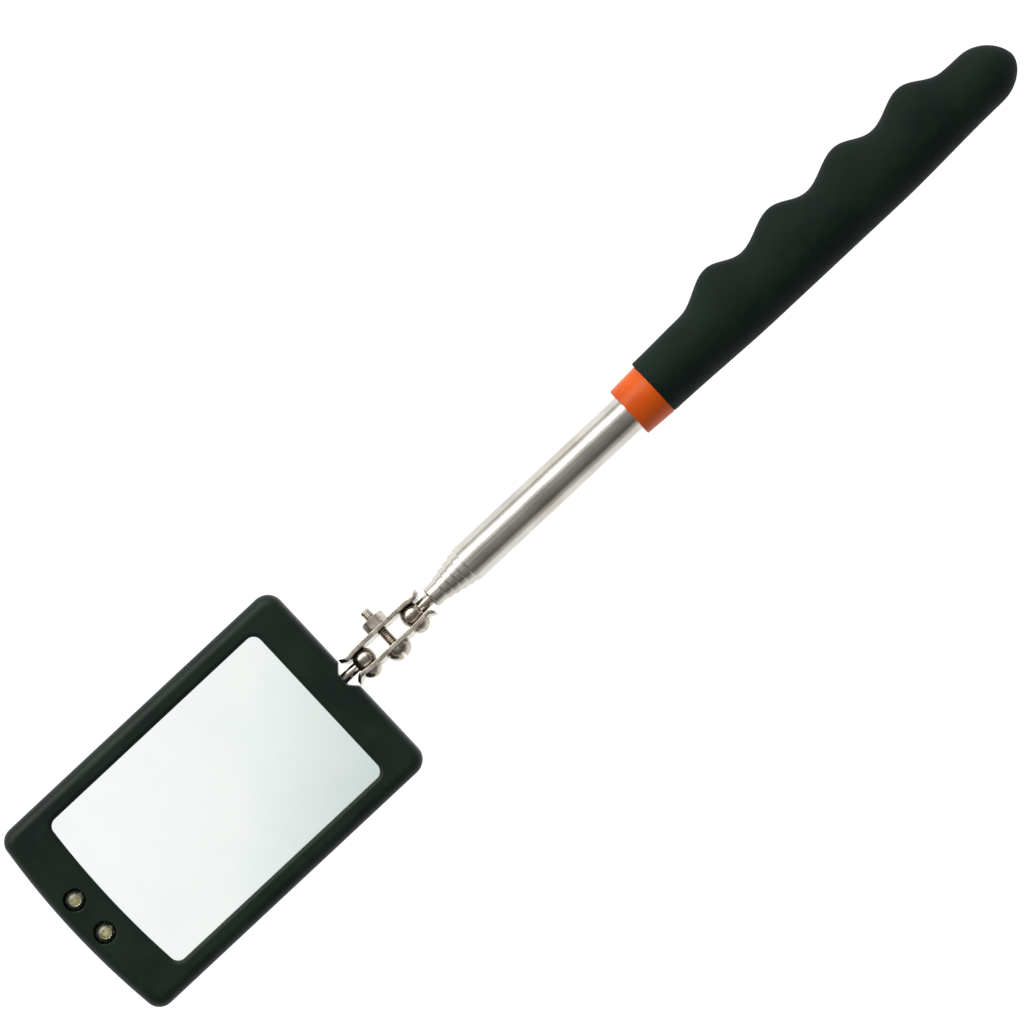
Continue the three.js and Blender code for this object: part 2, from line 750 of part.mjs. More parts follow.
// One drawn tube with a rounded tip.
// Every section but the first has a groove near its tail for its friction sleeve.
function tubeSolid(number) {
  const { outer, inner, tipX, tailX } = section(number);
  const isLast = number === tubeCount;
  const bore = isLast ? rearStud.neckRadius + rearStud.clearance : inner;
  const tipRadius = isLast ? outer - tube.lastTipWall : inner + 0.06;
  const profile = [[tipX, bore], [tipX, tipRadius]];
  for (let step = 1; step <= 3; step++) {
    const angle = (step / 3) * (Math.PI / 2);
    const x = tipX + tube.tipRound * (1 - Math.cos(angle));
    profile.push([x, tipRadius + (outer - tipRadius) * Math.sin(angle)]);
  }
  if (number > 1) {
    const grooveEnd = tailX - tube.tailLand;
    const grooveStart = grooveEnd - tube.grooveLength;
    const groove = outer - tube.grooveDepth;
    profile.push([grooveStart, outer], [grooveStart, groove], [grooveEnd, groove], [grooveEnd, outer]);
  }
  profile.push([tailX, outer], [tailX, inner]);
  if (isLast) profile.push([tipX + tube.lastLipLength, inner], [tipX + tube.lastLipLength, bore]);
  profile.push([tipX, bore]);
  return turned(profile);
}

// A split bronze ring that rides in a tube's groove and rubs on the bore around it.
function frictionSleeve(number) {
  const { outer, tailX } = section(number);
  const { innerGap, outerGap, endGap, splitAngle } = sleeve;
  const inside = outer - tube.grooveDepth + innerGap;
  const boreAround = outer + tube.step - tube.wall;
  const outside = boreAround * Math.cos(Math.PI / roundFacets) - outerGap;
  const ring = new THREE.Shape();
  ring.absarc(0, 0, outside, splitAngle, 2 * Math.PI - splitAngle);
  ring.absarc(0, 0, inside, 2 * Math.PI - splitAngle, splitAngle, true);
  const length = tube.grooveLength - 2 * endGap;
  const start = tailX - tube.tailLand - tube.grooveLength + endGap;
  return new THREE.ExtrudeGeometry(ring, { depth: length, bevelEnabled: false, curveSegments: 16 })
    .rotateY(Math.PI / 2)
    .translate(start, 0, axisHeight);
}

function collarSolid() {
  const { startX, endX, radius, edgeRound, boreGap } = collar;
  const bore = tube.outerRadius + boreGap;
  const profile = [[startX, bore], [startX, radius - edgeRound], [startX + edgeRound, radius]];
  profile.push([endX - edgeRound, radius], [endX, radius - edgeRound], [endX, bore], [startX, bore]);
  return turned(profile, 30);
}

function smooth(from, to, x) {
  return THREE.MathUtils.smoothstep(x, from, to);
}

// The grip's reach from the axis at x, on its finger side without the ridges, its palm side
// and its flanks. Each side has a reach at the collar, then swells and narrows along X.
function fingerSide(x) {
  const start = 7.7;
  return start + 0.4 * smooth(grip.startX, 50, x) + 1.1 * smooth(50, 66, x) - 1.1 * smooth(118, 134, x);
}

function palmSide(x) {
  const start = 6.8;
  return start + 0.7 * smooth(grip.startX, 66, x) - 1.05 * smooth(104, grip.noseStartX, x);
}

function sideDepth(x) {
  const start = 7.1;
  return start + 0.5 * smooth(grip.startX, 50, x) - 0.9 * smooth(112, grip.noseStartX, x);
}

// The asymmetric finger ridges: a slow rise and a steeper fall.
function ridges(x) {
  let height = 0;
  for (let i = 0; i < grip.fingers; i++) {
    const offset = x - (grip.firstPeakX + i * grip.fingerPitch);
    const reach = offset < 0 ? grip.riseLength : grip.fallLength;
    const wave = 0.5 * (1 + Math.cos((Math.PI * offset) / reach));
    if (Math.abs(offset) < reach) height = grip.ridgeHeight * wave;
  }
  return height;
}

// 1 along the grip, falling to 0 over its blunt nose.
function nose(x) {
  const along = Math.max(0, (x - grip.noseStartX) / (grip.endX - grip.noseStartX));
  return Math.pow(Math.max(0, 1 - Math.pow(along, grip.nosePower)), 1 / grip.nosePower);
}

// The places along X where the grip's section is drawn, closer together round the nose.
function gripStations() {
  const noseShares = [0.2, 0.38, 0.54, 0.68, 0.8, 0.89, 0.955, 0.99, 1];
  const straight = grip.slices - noseShares.length + 1;
  const stations = [];
  for (let i = 0; i <= straight; i++) {
    stations.push(THREE.MathUtils.lerp(grip.startX, grip.noseStartX, i / straight));
  }
  for (const share of noseShares) stations.push(THREE.MathUtils.lerp(grip.noseStartX, grip.endX, share));
  return stations;
}

function gripSolid() {
  const stations = gripStations();
  const outlines = stations.map((x, i) => {
    const shrink = i === stations.length - 1 ? 0.12 : nose(x);
    const up = (fingerSide(x) + ridges(x)) * shrink;
    const down = palmSide(x) * shrink;
    const depth = sideDepth(x) * shrink;
    const points = [];
    for (let k = 0; k < grip.facets; k++) {
      const angle = (k / grip.facets) * 2 * Math.PI;
      const across = Math.cos(angle);
      points.push(new THREE.Vector2(across > 0 ? up * across : down * across, depth * Math.sin(angle)));
    }
    return points;
  });
  const body = loft(outlines, (point, level) => {
    return new THREE.Vector3(stations[level], point.x, axisHeight + point.y);
  });
  const bore = tube.outerRadius + grip.boreGap;
  const { startX, boreEndX } = grip;
  return shape([body], [turned([[startX - 1, 0], [startX - 1, bore], [boreEndX, bore], [boreEndX, 0]])]);
}

// ---- Assembly -------------------------------------------------------------------------------

function piece(name, geometry, look) {
  const mesh = new THREE.Mesh(geometry, new THREE.MeshStandardMaterial(look));
  mesh.name = name;
  return mesh;
}

function mirrorHead() {
  const group = new THREE.Group();
  group.add(piece("front_frame", frontFrame(), finish.casing));
  group.add(piece("rear_cover", rearCover(), finish.casing));
  group.add(piece("mirror_glass", mirrorGlass(), finish.silvered));
  group.add(piece("mirror_backing", mirrorBacking(), finish.backing));
  group.add(piece("led_left", ledLamp(ledYs[0]), finish.lens));
  group.add(piece("led_right", ledLamp(ledYs[1]), finish.lens));
  group.add(piece("led_board", ledBoard(), finish.circuit));
  group.add(piece("coin_cell_lower", coinCell(cell.lowest), finish.cellSteel));
  group.add(piece("coin_cell_upper", coinCell(cell.lowest + cell.height + cell.gap), finish.cellSteel));
  group.add(piece("battery_contact_upper", upperContact(), finish.plated));
  group.add(piece("battery_contact_side", sideContact(), finish.plated));
  group.add(piece("battery_door", batteryDoor(), finish.casing));
  group.add(piece("switch_body", switchBody(), finish.cellSteel));
  group.add(piece("switch_knob", switchKnob(), finish.knobPlastic));
  screwPlaces.forEach(([x, y], i) => {
    group.add(piece(`case_screw_${i + 1}`, screwSolid(x, y), finish.plated));
  });
  return group;
}

function ballLink() {
  const group = new THREE.Group();
  const clamp = new THREE.Group();
  clamp.position.set(clampX, 0, axisHeight);
  clamp.rotation.x = linkTilt;
  clamp.add(piece("clamp_plate_left", clampPlate(1, false), finish.plated));
  clamp.add(piece("clamp_plate_right", clampPlate(-1, true), finish.plated));
  clamp.add(piece("clamp_screw", clampScrewSolid(), finish.plated));
  clamp.add(piece("clamp_nut", clampNutSolid(), finish.plated));
  group.add(clamp);
  group.add(piece("front_ball_stud", frontBallStud(), finish.plated));
  group.add(piece("stem_nut", stemNut(), finish.plated));
  group.add(piece("rear_ball_stud", rearBallStud(), finish.plated));
  return group;
}

function telescopicHandle() {
  const group = new THREE.Group();
  for (let number = 1; number <= tubeCount; number++) {
    group.add(piece(`tube_${number}`, tubeSolid(number), finish.plated));
    if (number > 1) group.add(piece(`friction_sleeve_${number}`, frictionSleeve(number), finish.bronze));
  }
  group.add(piece("collar", collarSolid(), finish.collarPlastic));
  group.add(piece("grip", gripSolid(), finish.rubber));
  return group;
}

const inspectionMirror = new THREE.Group();
inspectionMirror.add(mirrorHead(), ballLink(), telescopicHandle());

export default inspectionMirror;
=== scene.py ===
# Telescoping inspection mirror: a lit mirror head, a double ball link and a six-section handle.
# Every length in the settings is in millimetres.
import math

import bmesh
import bpy
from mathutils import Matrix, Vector


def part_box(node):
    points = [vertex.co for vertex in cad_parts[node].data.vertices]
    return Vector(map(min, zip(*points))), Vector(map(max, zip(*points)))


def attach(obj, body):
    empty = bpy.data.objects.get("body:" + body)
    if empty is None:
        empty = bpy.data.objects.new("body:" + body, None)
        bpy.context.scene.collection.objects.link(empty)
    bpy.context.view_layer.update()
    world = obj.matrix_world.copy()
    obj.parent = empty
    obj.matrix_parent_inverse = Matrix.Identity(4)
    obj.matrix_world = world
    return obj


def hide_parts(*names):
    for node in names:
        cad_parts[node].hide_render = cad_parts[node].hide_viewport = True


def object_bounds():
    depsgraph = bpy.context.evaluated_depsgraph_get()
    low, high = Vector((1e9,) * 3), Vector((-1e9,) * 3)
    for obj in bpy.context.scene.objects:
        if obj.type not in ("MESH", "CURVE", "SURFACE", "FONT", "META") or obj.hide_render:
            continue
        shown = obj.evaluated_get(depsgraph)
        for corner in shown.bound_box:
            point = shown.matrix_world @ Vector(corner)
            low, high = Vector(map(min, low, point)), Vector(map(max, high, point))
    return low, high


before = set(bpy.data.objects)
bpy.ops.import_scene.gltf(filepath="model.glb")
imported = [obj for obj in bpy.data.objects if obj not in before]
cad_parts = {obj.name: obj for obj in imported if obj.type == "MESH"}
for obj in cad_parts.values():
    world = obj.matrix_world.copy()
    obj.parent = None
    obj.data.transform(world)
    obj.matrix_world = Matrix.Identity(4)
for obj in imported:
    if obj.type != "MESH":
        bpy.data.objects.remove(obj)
cadLow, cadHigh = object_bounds()

mm = 0.001
wayAlong = {"X": Vector((1, 0, 0)), "Y": Vector((0, 1, 0)), "Z": Vector((0, 0, 1))}
wayOut = {"X": Vector((0, 1, 0)), "Y": Vector((1, 0, 0)), "Z": Vector((1, 0, 0))}


def boxOf(node):
    low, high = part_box(node)
    return low / mm, high / mm


def at(x, y, z):
    return (x * mm, y * mm, z * mm)


def alone(piece):  # makes one object the only selected and active one
    if bpy.context.mode != "OBJECT":
        bpy.ops.object.mode_set(mode="OBJECT")
    bpy.ops.object.select_all(action="DESELECT")
    piece.select_set(True)
    bpy.context.view_layer.objects.active = piece


def openEdit(piece):
    alone(piece)
    bpy.ops.object.mode_set(mode="EDIT")


def closeEdit():
    bpy.ops.object.mode_set(mode="OBJECT")


def choose(piece, kind, test):  # in edit mode, selects just the parts that pass the test
    bpy.ops.mesh.select_mode(type=kind)
    bpy.ops.mesh.select_all(action="DESELECT")
    cage = bmesh.from_edit_mesh(piece.data)
    parts = {"VERT": cage.verts, "EDGE": cage.edges, "FACE": cage.faces}[kind]
    chosen = [part for part in parts if test(part)]
    for part in chosen:
        part.select_set(True)
    cage.select_flush_mode()
    bmesh.update_edit_mesh(piece.data)
    if not chosen:
        raise RuntimeError(f"nothing to select on {piece.name}")


def ends(edge):  # an edge's two points in millimetres
    return edge.verts[0].co / mm, edge.verts[1].co / mm


def near(a, b, slack=0.01):
    return abs(a - b) < slack


def levelAt(height):  # a test for edges that lie at that height
    return lambda edge: all(near(point.z, height) for point in ends(edge))


def spanIs(way, length):  # a test for edges that reach just that far along X, Y or Z
    return lambda edge: near(abs((ends(edge)[0] - ends(edge)[1]).dot(wayAlong[way])), length)


def bevelEdges(piece, test, width, segments, profile=0.5):
    openEdit(piece)
    choose(piece, "EDGE", test)
    bpy.ops.mesh.bevel(offset=width * mm, segments=segments, profile=profile, affect="EDGES")
    closeEdit()


def addBlock(name, low, high):
    bpy.ops.object.select_all(action="DESELECT")
    centre = [(a + b) / 2 for a, b in zip(low, high)]
    size = [b - a for a, b in zip(low, high)]
    bpy.ops.mesh.primitive_cube_add(size=1, location=at(*centre), scale=at(*size))
    piece = bpy.context.object
    piece.name = name
    bpy.ops.object.transform_apply(location=True, rotation=True, scale=True)
    return piece


def addRod(name, axis, centre, radius, start, end, sides=48):
    # a rod along an axis through centre, from start to end on that axis
    bpy.ops.object.select_all(action="DESELECT")
    turn = {"X": (0, math.pi / 2, 0), "Y": (math.pi / 2, 0, 0), "Z": (0, 0, 0)}[axis]
    middle = Vector(centre) + wayAlong[axis] * (start + end) / 2
    bpy.ops.mesh.primitive_cylinder_add(
        vertices=sides, radius=radius * mm, depth=(end - start) * mm, location=middle * mm, rotation=turn
    )
    piece = bpy.context.object
    piece.name = name
    bpy.ops.object.transform_apply(location=True, rotation=True, scale=True)
    return piece


def addBall(name, centre, radius, segments=48):
    bpy.ops.object.select_all(action="DESELECT")
    bpy.ops.mesh.primitive_uv_sphere_add(
        segments=segments, ring_count=segments // 2, radius=radius * mm, location=at(*centre)
    )
    piece = bpy.context.object
    piece.name = name
    bpy.ops.object.transform_apply(location=True, rotation=True, scale=True)
    return piece


def revolve(name, axis, centre, profile, steps=64):
    # profile points are (place along the axis, radius): a chain of extruded edges that is then spun
    points = [Vector(centre) + wayAlong[axis] * along + wayOut[axis] * radius for along, radius in profile]
    bpy.ops.object.select_all(action="DESELECT")
    bpy.ops.mesh.primitive_plane_add(size=mm, location=points[0] * mm)
    piece = bpy.context.object
    piece.name = name
    bpy.ops.object.mode_set(mode="EDIT")
    bpy.ops.mesh.select_mode(type="VERT")
    bpy.ops.mesh.select_all(action="SELECT")
    bpy.ops.mesh.merge(type="CENTER")
    for here, there in zip(points, points[1:]):
        bpy.ops.mesh.extrude_region_move(TRANSFORM_OT_translate={"value": (there - here) * mm})
    bpy.ops.mesh.select_all(action="SELECT")
    bpy.ops.mesh.spin(steps=steps, angle=math.tau, center=Vector(centre) * mm, axis=wayAlong[axis])
    bpy.ops.mesh.select_all(action="SELECT")
    bpy.ops.mesh.remove_doubles(threshold=0.0005 * mm)
    bpy.ops.mesh.normals_make_consistent(inside=False)
    closeEdit()
    alone(piece)
    bpy.ops.object.transform_apply(location=True, rotation=True, scale=True)
    return piece


def arc(along, radius, fromAngle, toAngle, steps, rise=0):
    # profile points round a circle whose middle is at along, rise; angle 0 points down the axis
    points = []
    for step in range(steps + 1):
        angle = math.radians(fromAngle + (toAngle - fromAngle) * step / steps)
        points.append((along + radius * math.cos(angle), rise + radius * math.sin(angle)))
    return points


def combine(piece, tool, operation="DIFFERENCE"):
    alone(piece)
    change = piece.modifiers.new("combine", "BOOLEAN")
    change.operation = operation
    change.solver = "EXACT"
    change.object = tool
    bpy.ops.object.modifier_apply(modifier=change.name)
    alone(tool)
    bpy.ops.object.delete()


def softenEdges(piece, width, segments=2, angle=50):  # a small bevel on every sharp edge
    alone(piece)
    change = piece.modifiers.new("soften", "BEVEL")
    change.width = width * mm
    change.segments = segments
    change.limit_method = "ANGLE"
    change.angle_limit = math.radians(angle)
    change.use_clamp_overlap = True
    bpy.ops.object.modifier_apply(modifier=change.name)


def copyOf(piece, name, move):
    alone(piece)
    bpy.ops.object.duplicate(linked=False)
    copy = bpy.context.object
    copy.name = name
    copy.location = Vector(move) * mm
    bpy.ops.object.transform_apply(location=True, rotation=True, scale=True)
    return copy


def finishPiece(piece, body, material, nodes=(), angle=32, flat=False):
    # smooths the shading, puts the place in the mesh, gives the finish and ties the piece to its body
    openEdit(piece)
    bpy.ops.mesh.select_all(action="SELECT")
    bpy.ops.mesh.dissolve_degenerate(threshold=0.001 * mm)
    closeEdit()
    bpy.ops.object.transform_apply(location=True, rotation=True, scale=True)
    bpy.ops.object.shade_smooth_by_angle(angle=math.radians(angle))
    if flat:  # broad flat faces keep their own normals beside the small bevels
        change = piece.modifiers.new("weigh", "WEIGHTED_NORMAL")
        change.keep_sharp = True
        bpy.ops.object.modifier_apply(modifier=change.name)
    piece.data.materials.clear()
    piece.data.materials.append(material)
    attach(piece, body)
    if nodes:
        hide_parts(*nodes)


# Materials

def hexColour(value):  # an sRGB hex value as linear colour
    def linear(channel):
        share = channel / 255
        return share / 12.92 if share <= 0.04045 else ((share + 0.055) / 1.055) ** 2.4
    return (*[linear(int(value[i:i + 2], 16)) for i in (1, 3, 5)], 1)


def addNode(tree, kind, inputs=None, stops=None, **settings):
    # adds a node, sets it up, and fills or links its inputs
    node = tree.nodes.new(kind)
    for name, value in settings.items():
        setattr(node, name, value)
    for name, value in (inputs or {}).items():
        if isinstance(value, bpy.types.NodeSocket):
            tree.links.new(value, node.inputs[name])
        else:
            node.inputs[name].default_value = value
    if stops:
        ramp = node.color_ramp
        while len(ramp.elements) < len(stops):
            ramp.elements.new(0.5)
        for element, (place, colour) in zip(ramp.elements, stops):
            element.position = place
            element.color = colour
    return node


def startMaterial(name, surface):
    # surface holds the values that are the same all over, set on the shader's own sockets
    material = bpy.data.materials.new(name)
    material.use_nodes = True
    tree = material.node_tree
    shader = tree.nodes["Principled BSDF"]
    for socket, value in surface.items():
        shader.inputs[socket].default_value = value
    place = addNode(tree, "ShaderNodeTexCoord")
    return material, tree, shader, place.outputs["Object"]


def perMetre(size):  # noise scale for a pattern of that size in millimetres
    return 1 / (size * mm)


def noise(tree, place, size, detail, roughness=0.5):  # a soft pattern of that size in millimetres, 0 to 1
    node = addNode(tree, "ShaderNodeTexNoise", {
        "Vector": place, "Scale": perMetre(size), "Detail": detail, "Roughness": roughness})
    return node.outputs["Fac"]


def spread(tree, value, fromLow, fromHigh, toLow, toHigh):  # stretches one range of values over another
    node = addNode(tree, "ShaderNodeMapRange", {
        "Value": value, "From Min": fromLow, "From Max": fromHigh, "To Min": toLow, "To Max": toHigh})
    return node.outputs["Result"]


def shades(tree, value, *stops):  # colours along a value, each stop a place and a hex colour
    node = addNode(tree, "ShaderNodeValToRGB", {"Fac": value}, stops=[
        (place, hexColour(colour)) for place, colour in stops])
    return node.outputs["Color"]


def blendColours(tree, share, first, second):
    node = addNode(tree, "ShaderNodeMix", {0: share, 6: first, 7: second}, data_type="RGBA")
    return node.outputs[2]


def blendValues(tree, share, first, second):
    return addNode(tree, "ShaderNodeMix", {0: share, 2: first, 3: second}, data_type="FLOAT").outputs[0]


def bump(tree, height, strength, depth, under=None):  # relief that is depth millimetres high
    inputs = {"Height": height, "Strength": strength, "Distance": depth * mm}
    if under is not None:
        inputs["Normal"] = under
    return addNode(tree, "ShaderNodeBump", inputs).outputs["Normal"]


def wire(tree, shader, colour, roughness, normal=None):
    for socket, value in (("Base Color", colour), ("Roughness", roughness), ("Normal", normal)):
        if value is not None:
            tree.links.new(value, shader.inputs[socket])


# Injection-moulded ABS with a spark-eroded skin: near-black with a green cast, satin, soft broad glints
mouldedAbs = {
    "deep": "#0B1812",
    "pale": "#13241B",
    "worn": "#22332B",
    "cloud": 14,
    "smear": 5,
    "grain": 0.5,  # a real spark-eroded grain is about 0.05 mm, drawn coarser so that it shows
    "roughness": (0.42, 0.54),
}


def makeMouldedAbs(settings):
    material, tree, shader, place = startMaterial("ABS moulded satin", {
        "IOR": 1.54, "Specular IOR Level": 0.2})
    clouds = noise(tree, place, settings["cloud"], 4)
    base = shades(tree, clouds, (0.35, settings["deep"]), (0.7, settings["pale"]))
    rubs = spread(tree, noise(tree, place, settings["smear"], 2), 0.55, 0.8, 0, 0.25)
    rubbed = blendColours(tree, rubs, base, hexColour(settings["worn"]))
    gloss = spread(tree, clouds, 0, 1, *settings["roughness"])
    relief = bump(tree, noise(tree, place, settings["grain"], 3, 0.6), 0.25, 0.05)
    wire(tree, shader, rubbed, gloss, relief)
    return material


# Soft-touch rubber over the handle: dull green-black, mottled, with a fine pebbled skin
softRubber = {
    "deep": "#06130D",
    "pale": "#12211A",
    "mottle": 2.2,
    "patch": 16,
    "pebble": 0.55,
    "roughness": (0.62, 0.8),
}


def makeSoftRubber(settings):
    material, tree, shader, place = startMaterial("rubber soft matte", {
        "IOR": 1.5, "Specular IOR Level": 0.13, "Sheen Weight": 0.01, "Sheen Roughness": 0.5})
    mottle = noise(tree, place, settings["mottle"], 5, 0.65)
    both = blendValues(tree, 0.55, noise(tree, place, settings["patch"], 2), mottle)
    base = shades(tree, both, (0.38, settings["deep"]), (0.64, settings["pale"]))
    gloss = spread(tree, mottle, 0.3, 0.7, *settings["roughness"])
    pebbles = addNode(tree, "ShaderNodeTexVoronoi", {
        "Vector": place, "Scale": perMetre(settings["pebble"]), "Randomness": 1}, feature="SMOOTH_F1")
    relief = bump(tree, pebbles.outputs["Distance"], 0.22, 0.08)
    wire(tree, shader, base, gloss, bump(tree, mottle, 0.2, 0.15, relief))
    return material


# Moulded polypropylene collar: bright orange, half glossy, faint turned rings that catch the light
mouldedCollar = {"bright": "#D4580F", "deep": "#C64C0A", "ring": 0.9, "cloud": 5, "roughness": (0.32, 0.44)}


def makeMouldedCollar(settings):
    material, tree, shader, place = startMaterial("polypropylene moulded glossy", {
        "IOR": 1.49, "Specular IOR Level": 0.2, "Subsurface Weight": 0.06, "Subsurface Scale": 0.4 * mm})
    clouds = noise(tree, place, settings["cloud"], 3)
    base = shades(tree, clouds, (0.3, settings["deep"]), (0.65, settings["bright"]))
    gloss = spread(tree, clouds, 0, 1, *settings["roughness"])
    rings = addNode(tree, "ShaderNodeTexWave", {
        "Vector": place, "Scale": perMetre(settings["ring"]) / math.tau, "Distortion": 0.6, "Detail": 1},
        bands_direction="X")
    wire(tree, shader, base, gloss, bump(tree, rings.outputs["Fac"], 0.06, 0.03))
    return material


# Drawn and polished stainless tube: warm grey mirror streaks with fine lines along the draw
drawnSteel = {
    "bright": "#D6D2CB",
    "dull": "#C2BDB4",
    "line": 0.16,
    "lineLength": 45,
    "smear": 9,
    "roughness": (0.13, 0.24),
}


def makeDrawnSteel(settings):
    material, tree, shader, place = startMaterial("stainless steel drawn polished", {"Metallic": 1.0})
    stretched = addNode(tree, "ShaderNodeMapping", {
        "Vector": place, "Scale": (settings["line"] / settings["lineLength"], 1, 1)})
    lines = noise(tree, stretched.outputs["Vector"], settings["line"], 3)
    smears = noise(tree, place, settings["smear"], 3)
    base = shades(tree, smears, (0.3, settings["dull"]), (0.6, settings["bright"]))
    gloss = spread(tree, blendValues(tree, 0.5, lines, smears), 0.3, 0.7, *settings["roughness"])
    wire(tree, shader, base, gloss, bump(tree, lines, 0.05, 0.02))
    return material


# Nickel-plated steel: warm white metal with faint stains, and painted shade that darkens it in the corners
# and between parts
nickelPlate = {
    "bright": "#CFC7BB",
    "dull": "#A79E91",
    "cornerShade": "#6B6357",
    "stain": 1.6,
    "speck": 0.5,
    "corner": 1.2,
    "roughness": (0.14, 0.3),
}


def makeNickelPlate(settings):
    material, tree, shader, place = startMaterial("nickel plated steel", {"Metallic": 1.0})
    specks = noise(tree, place, settings["speck"], 4, 0.6)
    # painted shade: ambient occlusion darkens the colour in corners and between parts, where shade falls
    corners = addNode(tree, "ShaderNodeAmbientOcclusion", {"Distance": settings["corner"] * mm}, samples=4)
    paintedShade = spread(tree, corners.outputs["AO"], 0.75, 0.2, 0, 0.85)
    stains = noise(tree, place, settings["stain"], 3)
    tone = shades(tree, stains, (0.38, settings["dull"]), (0.6, settings["bright"]))
    base = blendColours(tree, paintedShade, tone, hexColour(settings["cornerShade"]))
    gloss = spread(tree, specks, 0.3, 0.7, *settings["roughness"])
    wire(tree, shader, base, gloss, bump(tree, specks, 0.12, 0.03))
    return material


# Second-surface silvered glass: a true mirror under a clear coat, with a breath of green haze
silveredGlass = {"silver": "#FBFEFC", "green": "#F7FBF9", "haze": 14, "roughness": (0.005, 0.02)}


def makeSilveredGlass(settings):
    material, tree, shader, place = startMaterial("glass silvered behind", {
        "Metallic": 1.0, "Coat Weight": 0.6, "Coat IOR": 1.52, "Coat Roughness": 0.01})
    haze = noise(tree, place, settings["haze"], 3)
    base = shades(tree, haze, (0.25, settings["green"]), (0.55, settings["silver"]))
    wire(tree, shader, base, spread(tree, haze, 0, 1, *settings["roughness"]))
    return material


# Cast clear epoxy of the lamps: see-through, a little milky and warm, with faint flow marks
castEpoxy = {"clear": "#E3E7D2", "flow": 1.4, "roughness": (0.02, 0.07)}


def makeCastEpoxy(settings):
    material, tree, shader, place = startMaterial("epoxy cast clear", {
        "IOR": 1.53, "Transmission Weight": 0.94, "Base Color": hexColour(settings["clear"])})
    flow = noise(tree, place, settings["flow"], 2)
    wire(tree, shader, None, spread(tree, flow, 0, 1, *settings["roughness"]))
    return material


def makeMottled(name, first, second, size, roughness, metallic=0.0, relief=0.05):
    # plain hidden and small finishes: two tones of one colour with a matching uneven gloss
    material, tree, shader, place = startMaterial(name, {"Metallic": metallic})
    tone = noise(tree, place, size, 4)
    base = shades(tree, tone, (0.35, first), (0.65, second))
    wire(tree, shader, base, spread(tree, tone, 0, 1, *roughness), bump(tree, tone, relief, 0.05))
    return material


casingAbs = makeMouldedAbs(mouldedAbs)
gripRubber = makeSoftRubber(softRubber)
collarPlastic = makeMouldedCollar(mouldedCollar)
tubeSteel = makeDrawnSteel(drawnSteel)
nickel = makeNickelPlate(nickelPlate)
mirrorSilver = makeSilveredGlass(silveredGlass)
lampEpoxy = makeCastEpoxy(castEpoxy)
# slippery dull black of the switch knob
knobAcetal = makeMottled("acetal moulded dull", "#1A1E1E", "#272C2C", 1.5, (0.45, 0.6), relief=0.1)
# bright cup of a lamp, and the dull yellow drop that fills it
cupSilver = makeMottled("silver plated copper", "#D9D8CF", "#EFEEE6", 0.4, (0.2, 0.35), 1.0)
phosphor = makeMottled("phosphor resin", "#F2E28E", "#FFFBE0", 0.5, (0.5, 0.7))
# what stays inside: the mirror's painted back, the green board, bright cells and warm spring metal
backingPaint = makeMottled("lacquer dark sprayed", "#2F3233", "#404445", 2, (0.6, 0.8))
boardMask = makeMottled("glass epoxy solder mask", "#174A2B", "#22663D", 1.2, (0.35, 0.5))
cellSteel = makeMottled("stainless steel pressed", "#BFC1C2", "#D3D5D6", 1, (0.22, 0.34), 1.0)
sleeveBronze = makeMottled("phosphor bronze rolled", "#9A6B33", "#B98748", 1, (0.28, 0.42), 1.0)
print("materials made")

# Mirror head: two moulded shells round a glass, parted at the height of the stud

frontLow, frontHigh = boxOf("front_frame")
rearHigh = boxOf("rear_cover")[1]
glassLow, glassHigh = boxOf("mirror_glass")
tubeLow, tubeHigh = boxOf("tube_1")
axisZ = (tubeLow.z + tubeHigh.z) / 2

headShell = {
    "tipX": frontLow.x,
    "rearX": frontHigh.x,
    "half": frontHigh.y,
    "corner": 3.8,
    "bow": 1.4,
    "frontRound": 2.8,
    "backRound": 2,
    "wall": 1.6,
    "rearWall": 4,
    "grooveDepth": 0.35,
    "grooveHeight": 0.4,
    "floor": 2.2,
}
boardRoom = (0.85, 0.5, 12)  # clearance round the lamps' board along X and Y, and its height
nutRoom = (3.8, 3.2, 11)  # length, half width and height of the space where the stem's nut turns
window = {
    "tipX": glassLow.x + 1.1,
    "rearX": glassHigh.x - 1.1,
    "half": glassHigh.y - 1.1,
    "corner": 2.2,
    "bow": 0.9,
    "lipRound": 1.1,
    "glassMargin": 1.1,
    "sideGap": 0.2,
}
lampHoles = {"radius": 2.6, "chamfer": 0.3}
stemNotch = {"mouth": 7.4, "root": 3.4, "depth": 1.8, "bore": 1.45}


def outlined(name, outline, bottom, top, grow=0):
    # an upright slab with rounded corners whose lit end is bowed outwards
    half = outline["half"] + grow
    corner = max(outline["corner"] + grow, 0.4)
    bow = outline["bow"]
    endX = outline["tipX"] - grow + bow
    piece = addBlock(name, (endX, -half, bottom), (outline["rearX"] + grow, half, top))

    bevelEdges(piece, spanIs("Z", top - bottom), corner, 9)
    if bow:
        straight = half - corner
        columns = 16

        def isEndEdge(edge):
            a, b = ends(edge)
            return near(a.x, endX) and near(b.x, endX) and near(abs(a.y - b.y), 2 * straight, 0.1)

        openEdit(piece)
        choose(piece, "EDGE", isEndEdge)
        bpy.ops.mesh.subdivide(number_cuts=columns - 1)
        for column in range(1, columns):
            y = straight * (2 * column / columns - 1)
            choose(piece, "VERT", lambda vert: near(vert.co.x / mm, endX) and near(vert.co.y / mm, y, 0.05))
            bpy.ops.transform.translate(value=at(-bow * (1 - (y / straight) ** 2), 0, 0))
        closeEdit()
    return piece


